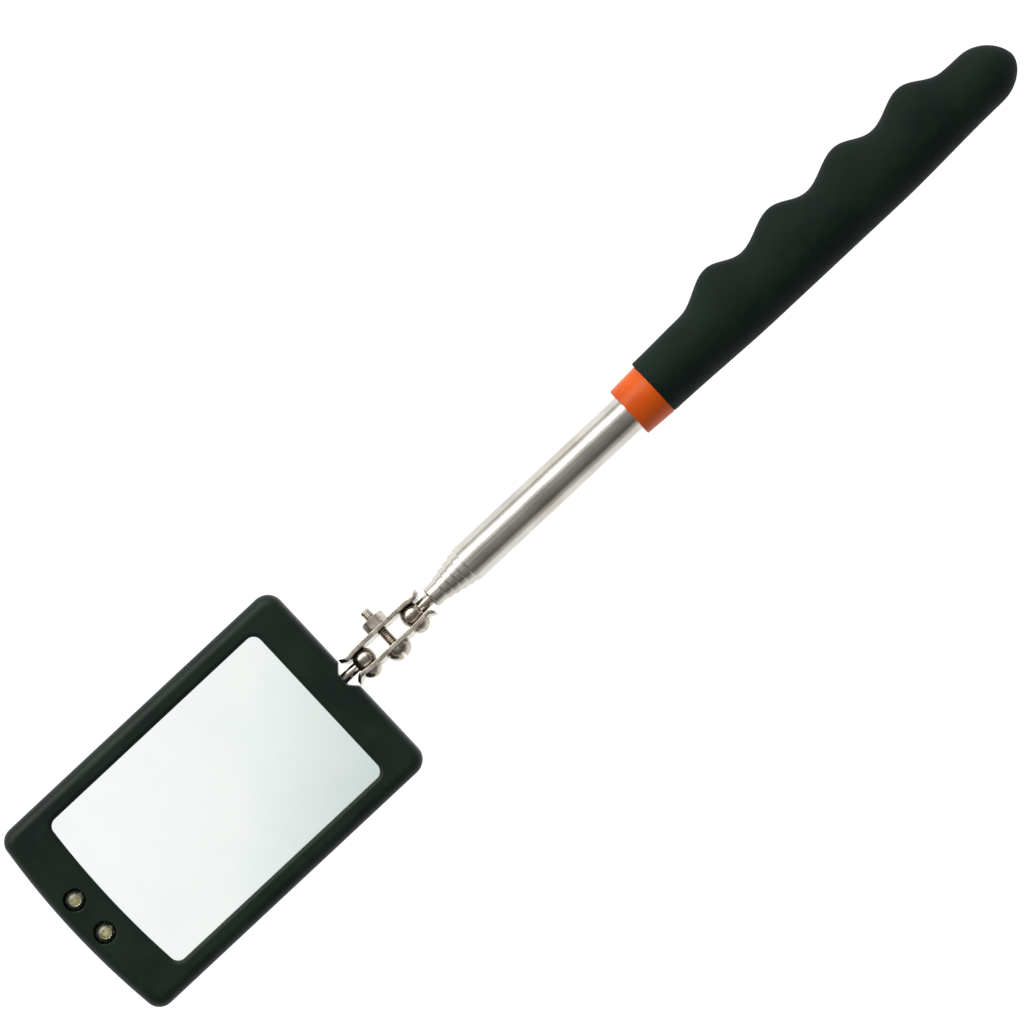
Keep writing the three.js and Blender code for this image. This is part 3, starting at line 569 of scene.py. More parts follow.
def notchTool():
    # the tapered opening in the handle end, wider at its mouth
    rear = headShell["rearX"]
    inner = rear - stemNotch["depth"]
    half = stemNotch["mouth"] / 2
    tool = addBlock("notchTool", (inner, -half, -2), (rear, half, 16))
    openEdit(tool)
    choose(tool, "FACE", lambda face: face.normal.x < -0.9)
    bpy.ops.transform.resize(value=(1, stemNotch["root"] / stemNotch["mouth"], 1))
    choose(tool, "FACE", lambda face: face.normal.x > 0.9)
    bpy.ops.mesh.extrude_region_move(TRANSFORM_OT_translate={"value": at(1, 0, 0)})
    closeEdit()
    return tool


def boreTool():
    rear = headShell["rearX"]
    return addRod("boreTool", "X", (0, 0, axisZ), stemNotch["bore"], rear - 9, rear + 0.5)


def makeFrontFrame():
    s = headShell
    bottom, top = frontLow.z, frontHigh.z
    skirt = bottom + s["grooveHeight"]
    piece = outlined("headFrame", s, skirt, top)

    bevelEdges(piece, levelAt(top), s["frontRound"], 8)
    openEdit(piece)
    choose(piece, "FACE", lambda face: face.normal.z < -0.9)
    bpy.ops.mesh.inset(thickness=s["grooveDepth"] * mm)
    bpy.ops.mesh.extrude_region_move(TRANSFORM_OT_translate={"value": at(0, 0, -s["grooveHeight"])})
    closeEdit()

    hollow = dict(s, rearX=s["rearX"] - s["rearWall"] + s["wall"])
    combine(piece, outlined("tool", hollow, bottom - 1, glassLow.z - 0.1, grow=-s["wall"]))
    seat = window["glassMargin"] + window["sideGap"]
    combine(piece, outlined("tool", window, bottom - 1, glassHigh.z + 0.1, grow=seat))
    combine(piece, outlined("tool", window, bottom - 1, top + 1))
    boardLow, boardHigh = boxOf("led_board")
    x, y, roof = boardRoom
    low, high = (boardLow.x - x, boardLow.y - y, bottom - 1), (boardHigh.x + x, boardHigh.y + y, roof)
    combine(piece, addBlock("tool", low, high))
    for lamp in ("led_left", "led_right"):
        low, high = boxOf(lamp)
        middle = (low + high) / 2
        combine(piece, addRod("tool", "Z", (middle.x, middle.y, 0), lampHoles["radius"], 9, 16))
    innerX = s["rearX"] - s["rearWall"]
    length, half, roof = nutRoom
    combine(piece, addBlock("tool", (innerX - length, -half, bottom - 1), (innerX, half, roof)))
    combine(piece, notchTool())
    combine(piece, boreTool())

    def onTop(edge):
        flat = [face for face in edge.link_faces if face.normal.z > 0.99]
        wall = [face for face in edge.link_faces if abs(face.normal.z) < 0.1]
        return flat and wall and all(near(point.z, top) for point in ends(edge))

    def isLampRim(edge):
        a, b = ends(edge)
        return onTop(edge) and (a + b).x / 2 < window["tipX"] - 1.5 and (b - a).length < 1

    def isWindowRim(edge):
        a, b = ends(edge)
        middle = (a + b) / 2
        across = abs(middle.y) < window["half"] + 0.1
        return onTop(edge) and across and window["tipX"] - 0.1 < middle.x < window["rearX"] + 0.1

    bevelEdges(piece, isLampRim, lampHoles["chamfer"], 3)
    bevelEdges(piece, isWindowRim, window["lipRound"], 6)
    finishPiece(piece, "head", casingAbs, ["front_frame"], flat=True)


def rearShell(top):
    # the rounded back, rising to a flat top
    piece = outlined("rearShell", headShell, 0, top)
    bevelEdges(piece, levelAt(0), headShell["backRound"], 7)
    return piece


batteryDoor = {
    "rearX": headShell["tipX"] + 33.4,
    "half": 11.6,
    "tongue": 1,
    "skin": 0.8,
    "depth": 1.6,
    "gap": 0.15,
    "recess": 0.1,
    "grooves": 5,
    "grooveWidth": 0.8,
    "groovePitch": 1.8,
    "grooveTop": 0.55,
    "grooveHalf": 5,
}
cellWell = {"x": headShell["tipX"] + 21.8, "radius": 10.2, "wall": 1.1, "top": 8.2}
thumbDish = {
    "x": headShell["rearX"] - 19.5,
    "length": 13,
    "width": 7.4,
    "depth": 1.2,
    "corner": 2,
    "flare": 0.6,
    "floorRound": 0.4,
    "slotHalf": (3.2, 1.3),
}
screwWell = {"post": 2.5, "head": 2.2, "sunk": 1.9, "shank": 1.15}
screwPlaces = []
for number in range(1, 5):
    screwLow, screwHigh = boxOf(f"case_screw_{number}")
    screwPlaces.append(((screwLow + screwHigh) / 2).to_2d())


def doorBlocks(name, gap):
    # the door and its two side tongues, or with no gap the space they slide in
    s = batteryDoor
    half = s["half"] - gap
    start, end = headShell["tipX"] - 1, s["rearX"] - gap
    top = s["depth"] - gap
    piece = addBlock(name, (start, -half, s["recess"] if gap else -1), (end, half, top))
    wings = addBlock("wings", (start, -half - s["tongue"], s["skin"] + gap), (end, half + s["tongue"], top))
    combine(piece, wings, "UNION")
    return piece


def makeRearCover():
    s = headShell
    top = rearHigh.z
    piece = rearShell(top)
    piece.name = "headBack"
    hollow = dict(s, rearX=s["rearX"] - s["rearWall"] + s["wall"])
    combine(piece, outlined("tool", hollow, s["floor"], top + 1, grow=-s["wall"]))
    well = cellWell
    wellPlace = (well["x"], 0, 0)
    combine(piece, addRod("well", "Z", wellPlace, well["radius"] + well["wall"], 1, well["top"], 72), "UNION")
    for place in screwPlaces:
        combine(piece, addRod("post", "Z", (*place, 0), screwWell["post"], 1, top, 32), "UNION")
    combine(piece, doorBlocks("tool", 0))
    combine(piece, addRod("tool", "Z", wellPlace, well["radius"], -1, 12, 72))

    dish = thumbDish
    middle, length, width = dish["x"], dish["length"], dish["width"]
    outline = {"tipX": middle - length / 2, "rearX": middle + length / 2, "half": width / 2}
    tool = outlined("tool", dict(outline, corner=dish["corner"], bow=0), -0.5, dish["depth"])
    openEdit(tool)
    choose(tool, "FACE", lambda face: face.normal.z < -0.9)
    bpy.ops.transform.resize(value=(1 + 2 * dish["flare"] / length, 1 + 2 * dish["flare"] / width, 1))
    closeEdit()
    bevelEdges(tool, levelAt(dish["depth"]), dish["floorRound"], 3)
    combine(piece, tool)
    slotX, slotY = dish["slotHalf"]
    combine(piece, addBlock("tool", (middle - slotX, -slotY, 0), (middle + slotX, slotY, s["floor"] + 1)))
    combine(piece, addBlock("tool", (well["x"] - 14, -1.5, 4.6), (well["x"] - 9, 1.5, 12)))
    combine(piece, notchTool())
    combine(piece, boreTool())
    for place in screwPlaces:
        combine(piece, addRod("tool", "Z", (*place, 0), screwWell["head"], -1, screwWell["sunk"], 40))
        combine(piece, addRod("tool", "Z", (*place, 0), screwWell["shank"], -1, top + 1, 24))
    softenEdges(piece, 0.15)
    finishPiece(piece, "head", casingAbs, ["rear_cover"], flat=True)


def makeBatteryDoor():
    s = batteryDoor
    piece = doorBlocks("batteryDoor", s["gap"])
    combine(piece, rearShell(rearHigh.z), "INTERSECT")
    for groove in range(s["grooves"]):
        x = s["rearX"] - 6 - groove * s["groovePitch"]
        half, top = s["grooveHalf"], s["grooveTop"]
        tool = addBlock("tool", (x, -half, -1), (x + s["grooveWidth"], half, top))
        bevelEdges(tool, spanIs("Z", top + 1), 0.35, 4)
        combine(piece, tool)
    softenEdges(piece, 0.12)
    finishPiece(piece, "door", casingAbs, ["battery_door"], flat=True)


def makeMirror():
    piece = outlined("mirrorGlass", window, glassLow.z, glassHigh.z, grow=window["glassMargin"])
    bevelEdges(piece, levelAt(glassHigh.z), 0.25, 2)
    finishPiece(piece, "head", mirrorSilver, ["mirror_glass"], flat=True)


def makeKnob():
    low, high = boxOf("switch_knob")
    middle = (low + high) / 2
    piece = addBlock("switchKnob", (middle.x - 1.5, -1.1, 0.3), (middle.x + 1.5, 1.1, high.z))
    softenEdges(piece, 0.1)
    for step in (-1, 0, 1):
        x = middle.x + step
        tooth = addBlock("tooth", (x - 0.28, low.y, 0), (x + 0.28, high.y, 0.65))
        bevelEdges(tooth, levelAt(0), 0.18, 3)
        combine(piece, tooth, "UNION")
    finishPiece(piece, "knob", knobAcetal, ["switch_knob"], flat=True)


caseScrew = {
    "head": 1.9,
    "bottom": 0.5,
    "under": 1.8,
    "shank": 0.9,
    "tip": 10.6,
    "rim": (0.5, 0.7),
    "crossHalf": 1.3,
    "crossWidth": 0.5,
    "crossDepth": 0.7,
}


def makeCaseScrews():
    # one pan screw with a tapered cross, then three copies
    s = caseScrew
    bottom, under, tip = s["bottom"], s["under"], s["tip"]
    rise, reach = s["rim"]
    flat = s["head"] - reach
    profile = [(bottom, 0), (bottom, flat)]
    for turn in (0.4, 0.8, 1.2, 1.57):
        profile.append((bottom + rise * (1 - math.cos(turn)), flat + reach * math.sin(turn)))
    profile += [(under, s["head"]), (under, s["shank"]), (tip - 1.2, s["shank"]), (tip, 0)]
    first = screwPlaces[0]
    piece = revolve("caseScrew1", "Z", (first.x, first.y, 0), profile, 40)
    for x, y in ((s["crossHalf"], s["crossWidth"] / 2), (s["crossWidth"] / 2, s["crossHalf"])):
        low, high = (first.x - x, first.y - y, -1), (first.x + x, first.y + y, bottom + s["crossDepth"])
        tool = addBlock("tool", low, high)
        openEdit(tool)
        choose(tool, "FACE", lambda face: face.normal.z > 0.9)
        bpy.ops.transform.resize(value=(0.55, 0.55, 1))
        closeEdit()
        combine(piece, tool)
    screws = [piece]
    for number, place in enumerate(screwPlaces[1:], 2):
        screws.append(copyOf(piece, f"caseScrew{number}", (*(place - first), 0)))
    for number, screw in enumerate(screws, 1):
        finishPiece(screw, "head", nickel, [f"case_screw_{number}"])


def makeCells():
    for number, node in enumerate(("coin_cell_lower", "coin_cell_upper"), 1):
        low, high = boxOf(node)
        r = (high.y - low.y) / 2
        profile = [(low.z, 0), (low.z, r - 1.3), *arc(low.z + 0.2, 0.2, 180, 90, 3, r - 1.3)]
        profile += [(low.z + 0.2, r - 1.0), (low.z + 0.3, r - 0.9)]
        profile += [(low.z + 0.3, r - 0.15), (low.z + 0.45, r)]
        profile += [(high.z - 0.3, r), (high.z - 0.1, r - 0.1), (high.z, r - 0.35), (high.z, 0)]
        piece = revolve(f"coinCell{number}", "Z", (cellWell["x"], 0, 0), profile, 72)
        finishPiece(piece, "head", cellSteel, [node])


lamp = {"dome": 2.5, "flange": 2.9, "flangeHeight": 1, "cupTop": 11.2, "cupRadius": 1.0, "cupDepth": 0.6}


def makeLamp(name, node):
    low, high = boxOf(node)
    x, y = (low.x + high.x) / 2, (low.y + high.y) / 2
    s = lamp
    shoulder = low.z + s["flangeHeight"]
    profile = [(low.z, 0), (low.z, s["flange"] - 0.1), (low.z + 0.1, s["flange"])]
    profile += [(shoulder - 0.1, s["flange"]), (shoulder, s["flange"] - 0.1), (shoulder, s["dome"])]
    profile += arc(high.z - s["dome"], s["dome"], 90, 0, 16)
    lens = revolve(f"{name}Lens", "Z", (x, y, 0), profile, 56)
    finishPiece(lens, "head", lampEpoxy, [node])

    top, r = s["cupTop"], s["cupRadius"]
    foot, well = low.z + 0.6, top - s["cupDepth"]
    cup = [(foot, 0), (foot, 0.35), (well - 0.5, 0.35), (well - 0.3, 0.7)]
    cup += [(top, r + 0.12), (top, r), (well, 0.55), (well, 0)]
    post = revolve(f"{name}Cup", "Z", (x, y, 0), cup, 40)
    finishPiece(post, "head", cupSilver)
    base = well + 0.04
    glow = [(base, 0), (base, 0.5), (top - 0.05, r - 0.06), (top + 0.15, r - 0.3), (top + 0.25, 0)]
    drop = revolve(f"{name}Phosphor", "Z", (x, y, 0), glow, 40)
    finishPiece(drop, "head", phosphor)
    blade = addBlock(f"{name}Lead", (x + 1.45, y - 0.25, foot), (x + 1.85, y + 0.25, top - 0.3))
    openEdit(blade)
    choose(blade, "FACE", lambda face: face.normal.z > 0.9)
    bpy.ops.mesh.extrude_region_move(TRANSFORM_OT_translate={"value": at(-0.15, 0, 0.35)})
    bpy.ops.transform.resize(value=(1.6, 1.5, 1))
    closeEdit()
    softenEdges(blade, 0.05)
    finishPiece(blade, "head", cupSilver)


makeFrontFrame()
makeRearCover()
makeBatteryDoor()
makeMirror()
makeKnob()
makeCaseScrews()
makeCells()
makeLamp("lampLeft", "led_left")
makeLamp("lampRight", "led_right")
print("mirror head made")

# Double ball link: two pressed plates that a slotted screw draws together over two ball studs

clampLow, clampHigh = boxOf("clamp_screw")
link = {
    "x": (clampLow.x + clampHigh.x) / 2,
    "tilt": -8,
    "ballRadius": 2.75,
    "seatGap": 0.2,
    "ballReach": 7.4,
    "inner": 2.15,
    "thickness": 1.1,
    "halfLength": 11.9,
    "halfHeight": 3.2,
    "endRadius": 2.4,
    "pinch": 0.35,
    "lipLength": 1.5,
    "lipRise": 1.05,
    "domeRadius": 2.55,
    "domeRise": 1.55,
    "pierced": 1.3,
    "bore": 1.32,
}


def placeInLink(piece, turnOver=False):
    # link pieces are made about the link's middle, then set in place and turned about the handle's axis
    piece.location = at(link["x"], 0, axisZ)
    piece.rotation_euler.x = math.radians(link["tilt"] + (180 if turnOver else 0))


def makeClampPlate(name, node, turnOver, domed):
    s = link
    outer = s["inner"] + s["thickness"]
    length, height = s["halfLength"], s["halfHeight"]
    piece = addBlock(name, (-length, s["inner"], -height), (length, outer, height))
    bevelEdges(piece, spanIs("Y", s["thickness"]), s["endRadius"], 8)
    lipStart = s["halfLength"] - s["lipLength"]
    bends = [s["ballReach"] + share * (lipStart - s["ballReach"]) for share in (0, 0.25, 0.5, 0.75, 1)]
    bends += [lipStart + share * s["lipLength"] for share in (0.2, 0.45, 0.7)]
    openEdit(piece)
    for place in [-b for b in bends] + bends:
        bpy.ops.mesh.select_all(action="SELECT")
        bpy.ops.mesh.bisect(plane_co=at(place, 0, 0), plane_no=(1, 0, 0))
    cage = bmesh.from_edit_mesh(piece.data)
    columns = {round(vert.co.x / mm, 3) for vert in cage.verts}
    places = sorted(place for place in columns if abs(place) > s["ballReach"] + 0.1)
    for place in places:
        reach = abs(place)
        share = min(1, (reach - s["ballReach"]) / (lipStart - s["ballReach"]))
        push = -s["pinch"] * share * share * (3 - 2 * share)
        if reach > lipStart:
            push += s["lipRise"] * ((reach - lipStart) / s["lipLength"]) ** 1.2
        choose(piece, "VERT", lambda vert: near(vert.co.x / mm, place, 0.002))
        bpy.ops.transform.translate(value=at(0, push, 0))
    closeEdit()
    softenEdges(piece, 0.14, 3, 45)
    for x in (-s["ballReach"], s["ballReach"]):
        if domed:
            dome = addBall("dome", (x, outer + s["domeRise"] - s["domeRadius"], 0), s["domeRadius"])
            openEdit(dome)
            bpy.ops.mesh.select_all(action="SELECT")
            cut = at(0, s["inner"] + 0.3, 0)
            bpy.ops.mesh.bisect(plane_co=cut, plane_no=(0, 1, 0), use_fill=True, clear_inner=True)
            closeEdit()
            combine(piece, dome, "UNION")
        else:
            combine(piece, addRod("tool", "Y", (x, 0, 0), s["pierced"], -1, 9, 40))
    for x in (-s["ballReach"], s["ballReach"]):
        combine(piece, addBall("tool", (x, 0, 0), s["ballRadius"] + s["seatGap"], 56))
    combine(piece, addRod("tool", "Y", (0, 0, 0), s["bore"], -1, 9, 32))
    placeInLink(piece, turnOver)
    finishPiece(piece, "link", nickel, [node], angle=38, flat=True)


clampScrew = {
    "radius": 1.2,
    "root": 1.02,
    "pitch": 0.5,
    "head": 3.15,
    "headHeight": 2.8,
    "seat": -3.35,
    "end": 8.3,
    "slotWidth": 0.7,
    "slotDepth": 1.1,
}


def makeClampScrew():
    # a round-headed slotted screw; its thread is drawn as rings
    s = clampScrew
    top = s["seat"] - s["headHeight"]
    turns = [math.pi / 2 * step / 14 for step in range(15)]
    profile = [(s["seat"] - s["headHeight"] * math.cos(t), s["head"] * math.sin(t)) for t in turns]
    profile[0] = (top, 0)
    profile += [(s["seat"], s["radius"]), (-2, s["radius"])]
    along = -2 + s["pitch"] / 2
    while along < s["end"] - 0.8:
        profile += [(along, s["root"]), (along + s["pitch"] / 2, s["radius"])]
        along += s["pitch"]
    profile += [(s["end"] - 0.3, s["radius"] - 0.05), (s["end"], s["radius"] - 0.35), (s["end"], 0)]
    piece = revolve("clampScrew", "Y", (0, 0, 0), profile, 48)
    half = s["slotWidth"] / 2
    combine(piece, addBlock("tool", (-half, top - 1, -5), (half, top + s["slotDepth"], 5)))
    placeInLink(piece)
    finishPiece(piece, "link", nickel, ["clamp_screw"], angle=30)


clampNut = {"flats": 5, "height": 2.5, "seat": 3.35, "bore": 1.3}


def makeClampNut():
    s = clampNut
    corner = s["flats"] / math.sqrt(3)
    piece = addRod("clampNut", "Y", (0, 0, 0), corner, s["seat"], s["seat"] + s["height"], 6)
    alone(piece)
    piece.rotation_euler.y = math.radians(30)
    bpy.ops.object.transform_apply(rotation=True)
    low, high = s["seat"], s["seat"] + s["height"]
    ring = s["flats"] / 2
    wide = corner + 0.3
    drop = (wide - ring) * math.tan(math.radians(30))
    cone = [(low, 0), (low, ring), (low + drop, wide), (high - drop, wide), (high, ring), (high, 0)]
    combine(piece, revolve("cone", "Y", (0, 0, 0), cone, 64), "INTERSECT")
    combine(piece, addRod("tool", "Y", (0, 0, 0), s["bore"], low - 1, high + 1, 32))
    placeInLink(piece)
    finishPiece(piece, "link", nickel, ["clamp_nut"], angle=30, flat=True)


def ballWithNeck(centreX, side, neck):
    # profile of a ball from its far pole to the neck that leaves it on the given side
    last = 180 - math.degrees(math.asin(neck / link["ballRadius"]))
    points = arc(0, link["ballRadius"], 0, last, 26)
    return [(centreX - side * along, radius) for along, radius in points]


def makeStuds():
    frontX = link["x"] - link["ballReach"]
    rearX = link["x"] + link["ballReach"]
    low, high = boxOf("front_ball_stud")
    neck = 1.2
    profile = ballWithNeck(frontX, -1, neck)
    profile[0] = (profile[0][0], 0)
    profile += [(low.x + 0.3, neck), (low.x, neck - 0.3), (low.x, 0)]
    front = revolve("frontBallStud", "X", (0, 0, axisZ), profile, 56)
    finishPiece(front, "head_stem", nickel, ["front_ball_stud"])

    low, high = boxOf("rear_ball_stud")
    neck, shank = 1.45, 2.28
    shoulder = high.x - 9
    profile = ballWithNeck(rearX, 1, neck)
    profile[0] = (profile[0][0], 0)
    profile += [(shoulder, neck), (shoulder, shank), (high.x, shank), (high.x, 0)]
    rear = revolve("rearBallStud", "X", (0, 0, axisZ), profile, 56)
    finishPiece(rear, "section_6", nickel, ["rear_ball_stud"])


makeClampPlate("clampPlateLeft", "clamp_plate_left", False, False)
makeClampPlate("clampPlateRight", "clamp_plate_right", True, True)
makeClampScrew()
makeClampNut()
makeStuds()
print("ball link made")

# Telescopic handle: six drawn tubes, an orange collar and a finger grip

tubeShape = {
    "wall": 0.3,
    "tipRound": 0.8,
    "grooveLength": 8,
    "grooveDepth": 0.2,
    "tailLand": 2.5,
    "lastBore": 1.57,
    "lastTipWall": 0.75,
    "lastLip": 1.1,
}


def makeTube(number, body):
    s = tubeShape
    node = f"tube_{number}"
    low, high = boxOf(node)
    outer = (high.z - low.z) / 2
    inner = outer - s["wall"]
    isLast = number == 6
    bore = s["lastBore"] if isLast else inner
    lip = outer - s["lastTipWall"] if isLast else inner + 0.06
    profile = [(low.x, bore), (low.x, lip)]
    for step in range(1, 10):
        t = math.pi / 2 * step / 9
        profile.append((low.x + s["tipRound"] * (1 - math.cos(t)), lip + (outer - lip) * math.sin(t)))
    if number > 1:
        grooveEnd = high.x - s["tailLand"]
        start = grooveEnd - s["grooveLength"]
        floor = outer - s["grooveDepth"]
        profile += [(start, outer), (start, floor), (grooveEnd, floor), (grooveEnd, outer)]
    profile += [(high.x, outer), (high.x, inner)]
    if isLast:
        profile += [(low.x + s["lastLip"], inner), (low.x + s["lastLip"], bore)]
    profile.append((low.x, bore))
    piece = revolve(f"tube{number}", "X", (0, 0, axisZ), profile, 72)
    finishPiece(piece, body, tubeSteel, [node])


collarShape = {"round": 0.35, "boreGap": 0.1, "taper": 0.35, "reach": 0.08}


def makeCollar():
    low, high = boxOf("collar")
    r = (high.z - low.z) / 2
    bore = (tubeHigh.z - tubeLow.z) / 2 + collarShape["boreGap"]
    edge = collarShape["round"]
    front, back = r - collarShape["taper"], high.x + collarShape["reach"]
    profile = [(low.x, bore), *arc(low.x + edge, edge, 180, 90, 5, front - edge)]
    profile += [(back - 0.1, r), (back, r - 0.1), (back, bore), (low.x, bore)]
    piece = revolve("collarRing", "X", (0, 0, axisZ), profile, 96)
    finishPiece(piece, "handle", collarPlastic, ["collar"])


gripLow, gripHigh = boxOf("grip")
gripShape = {
    "startX": gripLow.x,
    "endX": gripHigh.x,
    "noseX": 137.6,
    "bore": 4.8,
    "boreEnd": 139.4,
    "firstPeak": 61.3,
    "pitch": 20.3,
    "fingers": 4,
    "rise": 11.45,
    "fall": 8.85,
    "ridge": 3.3,
    "nosePower": 1.8,
    "rim": 0.35,
    "sides": 48,
    "rings": 72,
}


def eased(start, end, x):
    share = min(1, max(0, (x - start) / (end - start)))
    return share * share * (3 - 2 * share)


def gripReach(x):
    # how far the grip reaches at x: up to the fingers, down to the palm, and out to each flank
    s = gripShape
    up = 7.7 + 0.4 * eased(s["startX"], 50, x) + 1.1 * eased(50, 66, x) - 1.1 * eased(118, 134, x)
    for finger in range(s["fingers"]):
        offset = x - (s["firstPeak"] + finger * s["pitch"])
        reach = s["rise"] if offset < 0 else s["fall"]
        if abs(offset) < reach:
            up += s["ridge"] * 0.5 * (1 + math.cos(math.pi * offset / reach))
    down = 6.8 + 0.7 * eased(s["startX"], 66, x) - 1.05 * eased(104, s["noseX"], x)
    flank = 7.1 + 0.5 * eased(s["startX"], 50, x) - 0.9 * eased(112, s["noseX"], x)
    along = max(0, (x - s["noseX"]) / (s["endX"] - s["noseX"]))
    nose = max(0, 1 - along ** s["nosePower"]) ** (1 / s["nosePower"])
    return up * nose, down * nose, flank * nose


def makeGrip():
    # a thin rod is cut into rings, and each ring is stretched to the grip's section there
    s = gripShape
    piece = addRod("gripCover", "X", (0, 0, axisZ), 1, s["startX"], s["endX"], s["sides"])
    openEdit(piece)
    choose(piece, "EDGE", lambda edge: abs(ends(edge)[0].x - ends(edge)[1].x) > 50)
    bpy.ops.mesh.subdivide(number_cuts=s["rings"] - 1)
    length = s["endX"] - s["startX"]
    straight = s["noseX"] - s["startX"]
    noseRings = 10
    for ring in range(s["rings"], -1, -1):  # from the nose back, so that no moved ring is met again
        here = s["startX"] + length * ring / s["rings"]
        fromEnd = s["rings"] - ring
        if fromEnd >= noseRings:
            x = s["startX"] + straight * ring / (s["rings"] - noseRings)
        else:
            x = s["noseX"] + (s["endX"] - s["noseX"]) * math.sin(math.pi / 2 * (1 - fromEnd / noseRings))
        up, down, flank = gripReach(x)
        choose(piece, "VERT", lambda vert: near(vert.co.x / mm, here, 0.02))
        if fromEnd == 0:
            bpy.ops.mesh.merge(type="CENTER")
            continue
        bpy.ops.transform.resize(value=(1, 1, flank), center_override=at(here, 0, axisZ))
        choose(piece, "VERT", lambda vert: near(vert.co.x / mm, here, 0.02) and vert.co.y > 1e-6)
        bpy.ops.transform.resize(value=(1, up, 1), center_override=at(here, 0, axisZ))
        choose(piece, "VERT", lambda vert: near(vert.co.x / mm, here, 0.02) and vert.co.y < -1e-6)
        bpy.ops.transform.resize(value=(1, down, 1), center_override=at(here, 0, axisZ))
        if not near(here, x, 1e-4):
            choose(piece, "VERT", lambda vert: near(vert.co.x / mm, here, 0.02))
            bpy.ops.transform.translate(value=at(x - here, 0, 0))
    bpy.ops.mesh.select_all(action="SELECT")
    bpy.ops.mesh.normals_make_consistent(inside=False)
    closeEdit()
    bevelEdges(piece, lambda edge: all(near(point.x, s["startX"]) for point in ends(edge)), s["rim"], 3)
    alone(piece)
    smooth = piece.modifiers.new("smooth", "SUBSURF")
    smooth.levels = smooth.render_levels = 1
    bpy.ops.object.modifier_apply(modifier=smooth.name)
    combine(piece, addRod("tool", "X", (0, 0, axisZ), s["bore"], s["startX"] - 1, s["boreEnd"], 64))
    finishPiece(piece, "handle", gripRubber, ["grip"], angle=50)


makeTube(1, "handle")
for number in range(2, 7):
    makeTube(number, f"section_{number}")
makeCollar()
makeGrip()
print("handle made")

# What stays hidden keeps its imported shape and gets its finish

hiddenFinish = {
    "mirror_backing": backingPaint,
    "led_board": boardMask,
    "battery_contact_upper": nickel,
    "battery_contact_side": nickel,
    "switch_body": cellSteel,
    "stem_nut": nickel,
}
hiddenFinish.update({f"friction_sleeve_{number}": sleeveBronze for number in range(2, 7)})
for node, material in hiddenFinish.items():
    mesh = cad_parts[node].data
    mesh.materials.clear()
    mesh.materials.append(material)

# Stage: a pale acrylic floor glowing softly from below, and a card above for the mirror to show

# the floor is far enough below for the head to hang down in any pose
floorLook = {"glow": 0.9, "white": "#838483", "warm": "#868686", "size": 12, "below": 115}
card = {"low": (-0.51, -0.25), "high": (-0.13, 0.25), "z": 3.2, "bright": 0.97, "dim": 0.64}


def makeFloor(settings):
    bpy.ops.object.select_all(action="DESELECT")
    level = min(cadLow[2], 0) - settings["below"] * mm
    bpy.ops.mesh.primitive_plane_add(size=settings["size"], location=(0, 0, level))
    plane = bpy.context.object
    plane.name = "floor"
    material, tree, shader, place = startMaterial("acrylic opal", {
        "Roughness": 0.7, "Specular IOR Level": 0.2, "Emission Strength": settings["glow"]})
    cloud = addNode(tree, "ShaderNodeTexNoise", {"Vector": place, "Scale": 3, "Detail": 2})
    base = addNode(tree, "ShaderNodeValToRGB", {"Fac": cloud.outputs["Fac"]}, stops=[
        (0.3, hexColour(settings["white"])), (0.7, hexColour(settings["warm"]))])
    glow = addNode(tree, "ShaderNodeValToRGB", {"Fac": cloud.outputs["Fac"]}, stops=[
        (0.3, (0.985, 0.985, 0.985, 1)), (0.7, (1, 1, 1, 1))])
    tree.links.new(base.outputs["Color"], shader.inputs["Base Color"])
    tree.links.new(glow.outputs["Color"], shader.inputs["Emission Color"])
    plane.data.materials.append(material)


def makeCard(settings):
    bpy.ops.object.select_all(action="DESELECT")
    low, high = settings["low"], settings["high"]
    middle = ((low[0] + high[0]) / 2, (low[1] + high[1]) / 2, settings["z"])
    bpy.ops.mesh.primitive_plane_add(size=1, location=middle)
    plane = bpy.context.object
    plane.name = "card"
    plane.scale = (high[0] - low[0], high[1] - low[1], 1)
    bpy.ops.object.transform_apply(location=True, rotation=True, scale=True)
    material, tree, shader, place = startMaterial("card lit white", {
        "Roughness": 1, "Specular IOR Level": 0, "Base Color": (0, 0, 0, 1), "Emission Strength": 1})
    split = addNode(tree, "ShaderNodeSeparateXYZ", {"Vector": place})
    alongX = spread(tree, split.outputs["X"], -0.32, -0.16, 0, 0.55)
    alongY = spread(tree, split.outputs["Y"], 0.05, -0.07, 0, 0.45)
    both = addNode(tree, "ShaderNodeMath", {0: alongX, 1: alongY}, operation="ADD")
    bright, dim = settings["bright"], settings["dim"]
    glow = addNode(tree, "ShaderNodeValToRGB", {"Fac": both.outputs["Value"]}, stops=[
        (0.0, (bright, bright, bright, 1)), (0.5, (bright * 0.93, bright * 0.95, bright * 0.94, 1)),
        (1.0, (dim * 0.93, dim * 1.04, dim, 1))])
    tree.links.new(glow.outputs["Color"], shader.inputs["Emission Color"])
    plane.data.materials.append(material)


# Light: a long strip box beyond the finger side, in a room that darkens from the horizon up to the ceiling

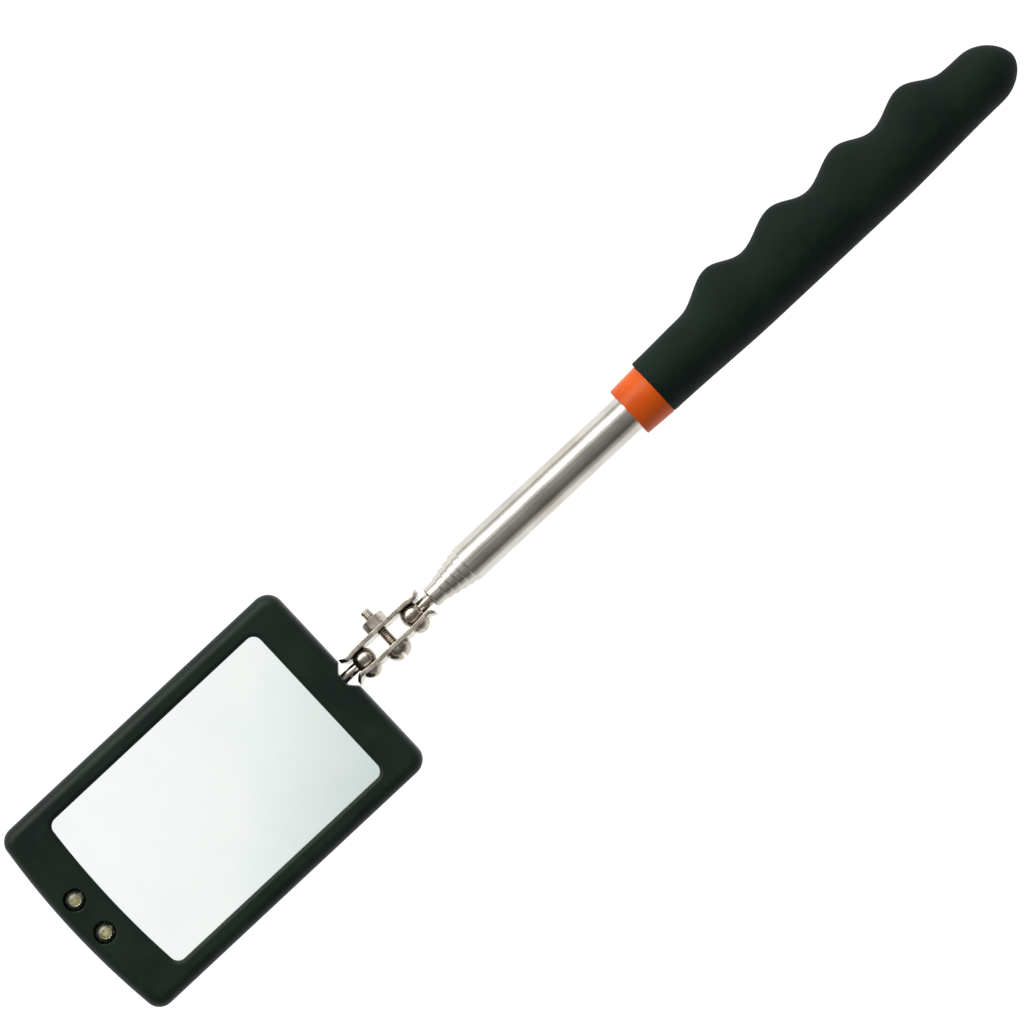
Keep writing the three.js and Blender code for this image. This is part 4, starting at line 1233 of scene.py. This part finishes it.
strip = {"size": (2.4, 0.56), "distance": 1.6, "tilt": 48, "power": 21, "colour": "#FFFDFA"}
room = [(0.0, 0.62), (0.17, 0.6), (0.34, 0.4), (0.5, 0.17), (0.62, 0.13), (1.0, 0.31)]


def makeLights():
    tilt = math.radians(strip["tilt"])
    place = (0, math.sin(tilt) * strip["distance"], math.cos(tilt) * strip["distance"])
    bpy.ops.object.light_add(type="AREA", location=place, rotation=(-tilt, 0, 0))
    box = bpy.context.object
    box.name = "keyStrip"
    box.data.shape = "RECTANGLE"
    box.data.size, box.data.size_y = strip["size"]
    box.data.energy = strip["power"]
    box.data.color = hexColour(strip["colour"])[:3]

    world = bpy.data.worlds.new("studio")
    bpy.context.scene.world = world
    world.use_nodes = True
    tree = world.node_tree
    sky = tree.nodes["Background"]
    way = addNode(tree, "ShaderNodeTexCoord")
    split = addNode(tree, "ShaderNodeSeparateXYZ", {"Vector": way.outputs["Generated"]})
    shade = addNode(tree, "ShaderNodeValToRGB", {"Fac": split.outputs["Z"]}, stops=[
        (height, (grey, grey * 0.985, grey * 0.965, 1)) for height, grey in room])
    side = spread(tree, split.outputs["Y"], 0.15, 0.6, 0, 1)
    above = spread(tree, split.outputs["Z"], 0.17, 0.42, 0, 1)
    spill = addNode(tree, "ShaderNodeMath", {0: side, 1: above}, operation="MULTIPLY")
    mixed = addNode(tree, "ShaderNodeMix", {
        0: spill.outputs["Value"], 6: shade.outputs["Color"], 7: (1, 1, 1, 1)},
        data_type="RGBA", blend_type="ADD")
    tree.links.new(mixed.outputs[2], sky.inputs["Color"])


def makeCamera():
    bpy.ops.object.camera_add(location=(-0.00822, 0.00165, 1.9513), rotation=(0, 0, math.radians(-43.05)))
    camera = bpy.context.object
    camera.name = "camera"
    camera.data.lens = 300
    camera.data.sensor_width = 36
    camera.data.clip_start = 0.1
    camera.data.clip_end = 50
    camera.data.dof.use_dof = False
    bpy.context.scene.camera = camera


makeFloor(floorLook)
makeCard(card)
makeLights()
makeCamera()
bpy.context.scene.view_settings.view_transform = "Standard"
print("stage and lights made")
